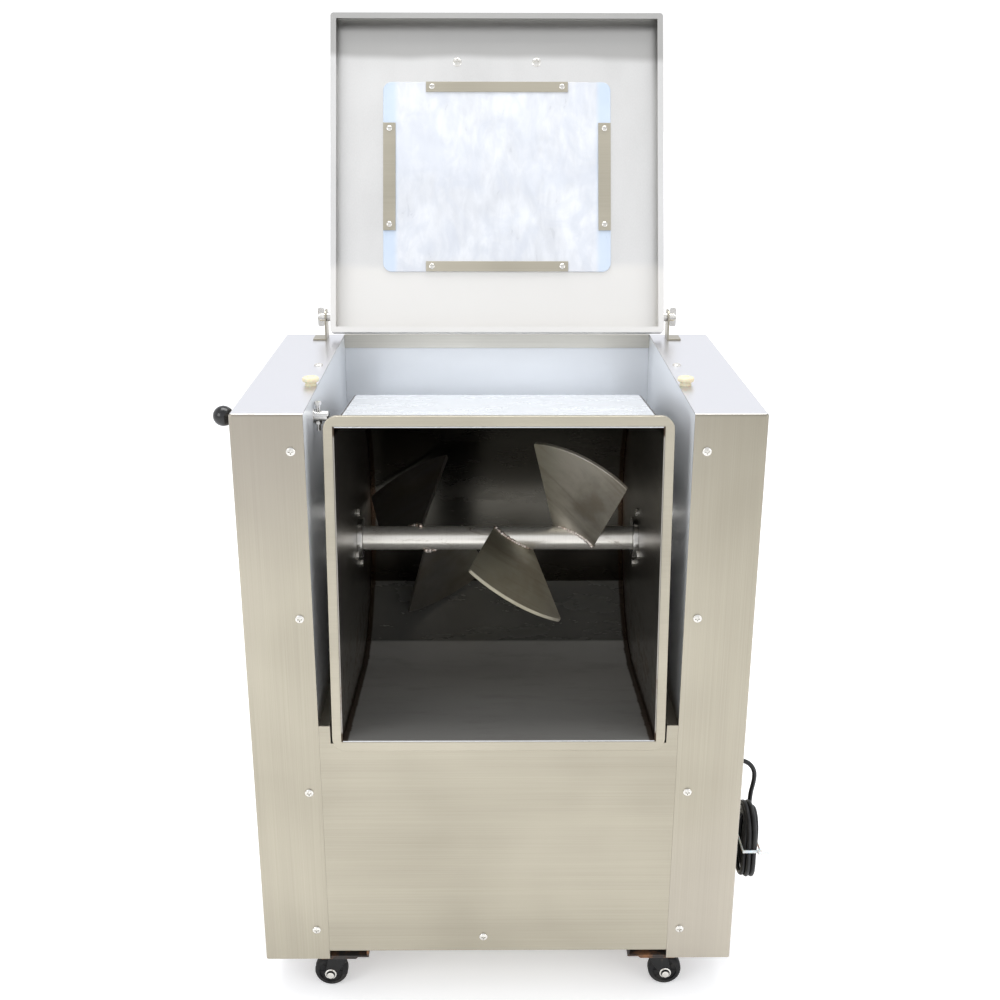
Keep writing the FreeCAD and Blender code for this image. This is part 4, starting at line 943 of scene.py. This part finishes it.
def make_casters():
    """Forks as packed, and wheels with a tread, a ribbed hub and a dust ring."""
    edge = settings("fittings").edge
    ribs, rib_reach, rib_size = 8, 13.4 * MM, (7.6 * MM, 1.4 * MM, 1.5 * MM)
    for corner in CORNERS:
        fork, wheel = "caster_fork_" + corner, "caster_wheel_" + corner
        dress(fork, black_paint, edge)
        low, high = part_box(wheel)
        centre, r, half = (low + high) / 2, (high.z - low.z) / 2, (high.y - low.y) / 2
        bm = bmesh.new()
        side = [(4.1 * MM, half), (9 * MM, half), (9.6 * MM, half - 1 * MM), (10 * MM, half - 2.4 * MM),
                (17.2 * MM, half - 2.4 * MM), (17.8 * MM, half - 0.4 * MM), (20.5 * MM, half - 0.1 * MM),
                (22.6 * MM, half - 1.0 * MM), (r - 1.0 * MM, half - 2.8 * MM),
                (r - 0.2 * MM, half - 4.6 * MM), (r, half * 0.3), (r - 0.35 * MM, half * 0.26)]
        outline = side + [(radius, -height) for radius, height in reversed(side)]
        outline.append(outline[0])
        lathe(bm, outline, facing(Y, centre), steps=72)
        for face in (-1, 1):
            for i in range(ribs):
                angle = 2 * math.pi * i / ribs
                along = Vector((math.cos(angle), 0, math.sin(angle)))
                spot = centre + along * rib_reach + Y * face * (half - 2.4 * MM)
                rib = bmesh.ops.create_cube(bm, size=1)["verts"]
                bmesh.ops.scale(bm, vec=rib_size, verts=rib)
                bmesh.ops.rotate(bm, cent=(0, 0, 0), matrix=Matrix.Rotation(-angle, 3, "Y"), verts=rib)
                bmesh.ops.translate(bm, vec=spot, verts=rib)
        piece_of("caster_tyre_" + corner, bm, tyre_rubber, "wheel_" + corner, (wheel,),
                 sharp=32)
        make_hub_bolt(corner, centre, *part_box(fork))


def make_hub_bolt(corner, hub, fork_low, fork_high):
    """The bright flanged head of the axle bolt, laid over the plain one."""
    bm = bmesh.new()
    for normal, face in ((-Y, fork_low.y), (Y, fork_high.y)):
        spot = Vector((hub.x, face, hub.z)) - normal * 4 * MM
        lathe(bm, mm((8.6, 0), (8.6, 0.5), (7.4, 1.0), (6.7, 1.1)), facing(normal, spot))
        lathe(bm, mm((5.2, 4.0), (3.6, 4.35), (0, 4.45)), facing(normal, spot))
    piece_of("axle_washers_" + corner, bm, bright_zinc, "caster_" + corner)


# Switch and cord

def make_switch():
    edge = settings("fittings").edge
    dress_all(black_gloss, "black_plastic", edge * 2, "switch_plate", "switch_knob", segments=3)


# Points of the lead, from the gland's mouth, the same as the tube's
LEAD_POINTS = ((0, 0, 0), (14, 0, 0), (26, 0, -7), (33, 1, -19), (34.5, 4, -34), (33.5, 8, -50),
               (32, 12, -66))
# Points from the end of the turns down to the plug, from the middle of the plug's top
PLUG_POINTS = ((13.5, 12.5, 34), (10, 10.5, 26), (5, 6.5, 18), (1, 1.5, 10), (0, 0, 4), (0, 0, -2))
RINGS = 3


def track(radius, straight, turns):
    """A place on an upright racetrack, as (back, up) from its middle, starting down its back run."""
    around = 2 * straight + 2 * math.pi * radius
    gone = (turns % 1.0) * around
    if gone < straight:
        return radius, straight / 2 - gone
    gone -= straight
    if gone < math.pi * radius:
        angle = gone / radius
        return radius * math.cos(angle), -straight / 2 - radius * math.sin(angle)
    gone -= math.pi * radius
    if gone < straight:
        return -radius, -straight / 2 + gone
    angle = (gone - straight) / radius
    return -radius * math.cos(angle), straight / 2 + radius * math.sin(angle)


def hank_points(low, high, lead):
    """The turns of the hank: three rings, one inside the next, each wound across the hank and back."""
    centre = (low + high) / 2
    half = lead.diameter / 2
    outer = (high.y - low.y) / 2 - half
    straight = (high.z - low.z) - (high.y - low.y)
    span = (high.x - low.x) - lead.diameter
    laps = span / lead.pitch
    shift, short = 0.25, 0.06
    total = math.floor(RINGS * laps + (RINGS - 1) * shift) - short
    points = []
    steps = int(total * lead.turn_points)
    for i in range(1, steps + 1):
        turns = total * i / steps
        ring = min(RINGS - 1, int(turns / (laps + shift)))
        inside = turns - ring * (laps + shift)
        travel = min(1.0, inside / laps)
        change = max(0.0, inside - laps) / shift
        across = travel if ring % 2 == 0 else 1 - travel
        radius = outer - lead.pitch * (ring + change * change * (3 - 2 * change))
        back, up = track(radius, straight, turns)
        points.append(Vector((high.x - half - across * span, centre.y + back, centre.z + up)))
    return points


def make_cord():
    """The lead from its gland into a tied hank, with the plug behind it."""
    lead = settings("cord")
    gland_low, gland_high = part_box("cord_gland")
    mouth = Vector((gland_high.x, (gland_low.y + gland_high.y) / 2, (gland_low.z + gland_high.z) / 2))
    plug_low, plug_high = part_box("power_plug")
    plug_top = Vector(((plug_low.x + plug_high.x) / 2, (plug_low.y + plug_high.y) / 2, plug_high.z))
    points = [mouth + Vector(step) * MM for step in LEAD_POINTS]
    points += hank_points(*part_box("cord_hank"), lead)
    points += [plug_top + Vector(step) * MM for step in PLUG_POINTS]
    curve = bpy.data.curves.new("power_cord", "CURVE")
    curve.dimensions = "3D"
    curve.bevel_depth = lead.diameter / 2
    curve.bevel_resolution = 5
    curve.resolution_u = 4
    curve.use_fill_caps = True
    spline = curve.splines.new("NURBS")
    spline.points.add(len(points) - 1)
    for point, spot in zip(spline.points, points):
        point.co = (*spot, 1)
    spline.order_u = 3
    spline.use_endpoint_u = True
    spline.use_smooth = True
    curve.materials.append(finish_of(cord_rubber))
    cord = bpy.data.objects.new("power_cord", curve)
    bpy.context.scene.collection.objects.link(cord)
    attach(cord, CABINET)
    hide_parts("power_lead", "cord_hank")
    tie = dress("cable_tie", white_nylon, 0.4 * MM)
    plug, pins = make_plug(plug_low, plug_high, plug_top)
    make_gland(mouth)


def make_plug(low, high, top):
    pin_length = 17 * MM
    body_low = Vector((low.x, low.y, low.z + pin_length))
    bm = bmesh.new()
    rounded_box(bm, body_low, high - Vector((0, 0, 8 * MM)), 4 * MM, 4)
    neck = facing(Z, Vector((top.x, top.y, high.z - 9 * MM)))
    lathe(bm, mm((8.5, 0), (8.2, 2), (6.2, 4), (5.6, 8.4), (4.6, 9), (0, 9)), neck)
    plug = piece_of("plug_body", bm, black_gloss, CABINET, ("power_plug",))
    bm = bmesh.new()
    r, apart = 2.4 * MM, 6.5 * MM
    for side in (-1, 1):
        spot = Vector((top.x, top.y + side * apart, body_low.z + 0.5 * MM))
        lathe(bm, [(r, 0), (r, pin_length - 1.4 * MM), (r * 0.8, pin_length - 0.3 * MM), (0, pin_length)],
              facing(-Z, spot), steps=24)
    return plug, piece_of("plug_pins", bm, brass, CABINET)


def make_gland(mouth):
    """The gland's hexagon, its domed nut and the soft sleeve on the lead."""
    low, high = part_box("cord_gland")
    base = Vector((low.x, mouth.y, mouth.z))
    bm = bmesh.new()
    ring = bmesh.ops.create_circle(bm, cap_ends=True, segments=6, radius=13.6 * MM)["verts"]
    face = list({f for v in ring for f in v.link_faces})
    top = bmesh.ops.extrude_face_region(bm, geom=face)["geom"]
    bmesh.ops.translate(bm, vec=(0, 0, 5 * MM), verts=[g for g in top if isinstance(g, bmesh.types.BMVert)])
    bmesh.ops.recalc_face_normals(bm, faces=bm.faces)
    bmesh.ops.transform(bm, matrix=facing(X, base), verts=bm.verts)
    settle(bm)
    lathe(bm, mm((11, 4.8), (11, 8), (9.6, 10.5), (7, 12), (5.2, 12), (4.9, 20), (4.2, 21), (3.4, 21)),
          facing(X, base))
    piece_of("gland_moulded", bm, black_gloss, CABINET, ("cord_gland",))


# Camera, floor and light

def make_stage():
    stage = settings("stage")
    scene = bpy.context.scene
    camera = bpy.data.objects.new("camera", bpy.data.cameras.new("camera"))
    scene.collection.objects.link(camera)
    camera.data.sensor_width = 36
    camera.data.lens = stage.lens
    camera.data.clip_end = 60
    ahead = Vector((math.sin(stage.yaw), math.cos(stage.yaw), 0))
    forward = ahead * math.cos(stage.pitch) - Z * math.sin(stage.pitch)
    level = Vector((math.cos(stage.yaw), -math.sin(stage.yaw), 0))
    rise = level.cross(forward)
    right = level * math.cos(stage.roll) + rise * math.sin(stage.roll)
    up = rise * math.cos(stage.roll) - level * math.sin(stage.roll)
    turn = Matrix((right, up, -forward)).transposed().to_4x4()
    camera.matrix_world = Matrix.Translation(stage.place) @ turn
    scene.camera = camera
    bm = bmesh.new()
    bmesh.ops.create_grid(bm, x_segments=1, y_segments=1, size=24)
    mesh = bpy.data.meshes.new("floor")
    bm.to_mesh(mesh)
    bm.free()
    floor = bpy.data.objects.new("floor", mesh)
    scene.collection.objects.link(floor)
    mesh.materials.append(finish_of(studio_floor))
    make_lights(scene)


def studio_floor(finish):
    tone = settings("stage").floor[:]
    finish.put(Base_Color=finish.mix(finish.noise(0.8, detail=2), shade(tone, 0.985), tone), Roughness=0.6,
               Emission_Color=(1, 1, 1), Emission_Strength=0.34)


# From straight below to straight above
SKY = ((0.0, (0.7, 0.7, 0.7)), (0.5, (0.86, 0.86, 0.86)), (0.68, (0.93, 0.95, 1.0)),
       (0.8, (0.78, 0.785, 0.8)), (1.0, (0.6, 0.61, 0.63)))
# Each lamp's name, place, target, size and power
LAMPS = (("overhead", (0.0, 0.3, 3.2), (0, 0.1, 0.5), (2.2, 1.4), 52),
         ("key", (-2.6, -2.4, 2.2), (0, 0, 0.7), (1.6, 1.6), 24),
         ("fill", (2.6, -2.2, 1.6), (0, 0, 0.6), (1.6, 1.6), 14))


def make_lights(scene):
    scene.world = bpy.data.worlds.new("studio")
    scene.world.use_nodes = True
    nodes = Nodes(scene.world.node_tree)
    height = nodes.signal("MapRange", Value=nodes.axis("Z", "Generated"), From_Min=-1, From_Max=1)
    colour = nodes.signal("ValToRGB", {"stops": SKY}, height)
    nodes.node("OutputWorld", Surface=nodes.signal("Background", Color=colour, Strength=1.25))
    for name, spot, target, size, power in LAMPS:
        data = bpy.data.lights.new(name, "AREA")
        data.shape = "RECTANGLE"
        data.size, data.size_y = size
        data.energy = power
        lamp = bpy.data.objects.new(name, data)
        scene.collection.objects.link(lamp)
        aim = Vector(target) - Vector(spot)
        lamp.matrix_world = Matrix.Translation(spot) @ aim.to_track_quat("-Z", "Y").to_matrix().to_4x4()
    scene.view_settings.view_transform = "Standard"


def run(*makers):
    """What every operator does: run its makers."""
    for maker in makers:
        maker()
    return {"FINISHED"}


# Operators

class MIXER_OT_casing(bpy.types.Operator):
    """Finish the towers, panels, deck and base"""
    bl_idname = "mixer.casing"
    bl_label = "Casing"

    def execute(self, context):
        return run(make_casing)


class MIXER_OT_drive(bpy.types.Operator):
    """Finish the gearbox, motor, chain and sprockets"""
    bl_idname = "mixer.drive"
    bl_label = "Drive"

    def execute(self, context):
        return run(make_drive)


class MIXER_OT_tub(bpy.types.Operator):
    """Finish the tub, its rim, trunnions and bearings"""
    bl_idname = "mixer.tub"
    bl_label = "Tub"

    def execute(self, context):
        return run(make_tub)


class MIXER_OT_shaft(bpy.types.Operator):
    """Finish the shaft and paddles and lay their welds"""
    bl_idname = "mixer.shaft"
    bl_label = "Shaft and paddles"

    def execute(self, context):
        return run(make_shaft, make_welds)


class MIXER_OT_lid(bpy.types.Operator):
    """Finish the lid, its window, handle and hinges"""
    bl_idname = "mixer.lid"
    bl_label = "Lid"

    def execute(self, context):
        return run(make_lid)


class MIXER_OT_fasteners(bpy.types.Operator):
    """Make the screws, rivets and bolts"""
    bl_idname = "mixer.fasteners"
    bl_label = "Fasteners"

    def execute(self, context):
        return run(make_screws, make_rivets, make_bolts)


class MIXER_OT_bumpers(bpy.types.Operator):
    """Make the lid's bumpers"""
    bl_idname = "mixer.bumpers"
    bl_label = "Bumpers"

    def execute(self, context):
        return run(make_bumpers)


class MIXER_OT_lock_bolt(bpy.types.Operator):
    """Make the lock bolt with its ball knob"""
    bl_idname = "mixer.lock_bolt"
    bl_label = "Lock bolt"

    def execute(self, context):
        return run(make_lock_bolt)


class MIXER_OT_casters(bpy.types.Operator):
    """Make the four casters"""
    bl_idname = "mixer.casters"
    bl_label = "Casters"

    def execute(self, context):
        return run(make_casters)


class MIXER_OT_switch(bpy.types.Operator):
    """Finish the switch"""
    bl_idname = "mixer.switch"
    bl_label = "Switch"

    def execute(self, context):
        return run(make_switch)


class MIXER_OT_cord(bpy.types.Operator):
    """Make the power cord with its gland, tie and plug"""
    bl_idname = "mixer.cord"
    bl_label = "Power cord"

    def execute(self, context):
        return run(make_cord)


class MIXER_OT_stage(bpy.types.Operator):
    """Set up the camera, floor and lights"""
    bl_idname = "mixer.stage"
    bl_label = "Stage"

    def execute(self, context):
        return run(make_stage)


OPERATORS = (MIXER_OT_stage, MIXER_OT_cord, MIXER_OT_casing, MIXER_OT_drive, MIXER_OT_tub, MIXER_OT_shaft,
             MIXER_OT_lid, MIXER_OT_fasteners, MIXER_OT_bumpers, MIXER_OT_lock_bolt, MIXER_OT_casters,
             MIXER_OT_switch)
SETTINGS = {"mixer_casing": CasingSettings, "mixer_tub": TubSettings, "mixer_fittings": FittingSettings,
            "mixer_cord": CordSettings, "mixer_stage": StageSettings}


class MIXER_PT_panel(bpy.types.Panel):
    """Lists the mixer's settings and pieces"""
    bl_label = "Tilting Tub Mixer"
    bl_idname = "MIXER_PT_panel"
    bl_space_type = "VIEW_3D"
    bl_region_type = "UI"
    bl_category = "Mixer"

    def draw(self, context):
        for name, group in SETTINGS.items():
            box = self.layout.box()
            box.label(text=group.__doc__)
            for prop in group.__annotations__:
                box.prop(getattr(context.scene, name), prop)
        for operator in OPERATORS:
            self.layout.operator(operator.bl_idname)


def register():
    for group in SETTINGS.values():
        bpy.utils.register_class(group)
    for operator in OPERATORS:
        bpy.utils.register_class(operator)
    bpy.utils.register_class(MIXER_PT_panel)
    for name, group in SETTINGS.items():
        setattr(bpy.types.Scene, name, bpy.props.PointerProperty(type=group))


def unregister():
    for name in SETTINGS:
        delattr(bpy.types.Scene, name)
    for item in (MIXER_PT_panel, *reversed(OPERATORS), *reversed(SETTINGS.values())):
        bpy.utils.unregister_class(item)


def main():
    register()
    for operator in OPERATORS:
        family, name = operator.bl_idname.split(".")
        getattr(getattr(bpy.ops, family), name)()


if __name__ == "__main__":
    main()
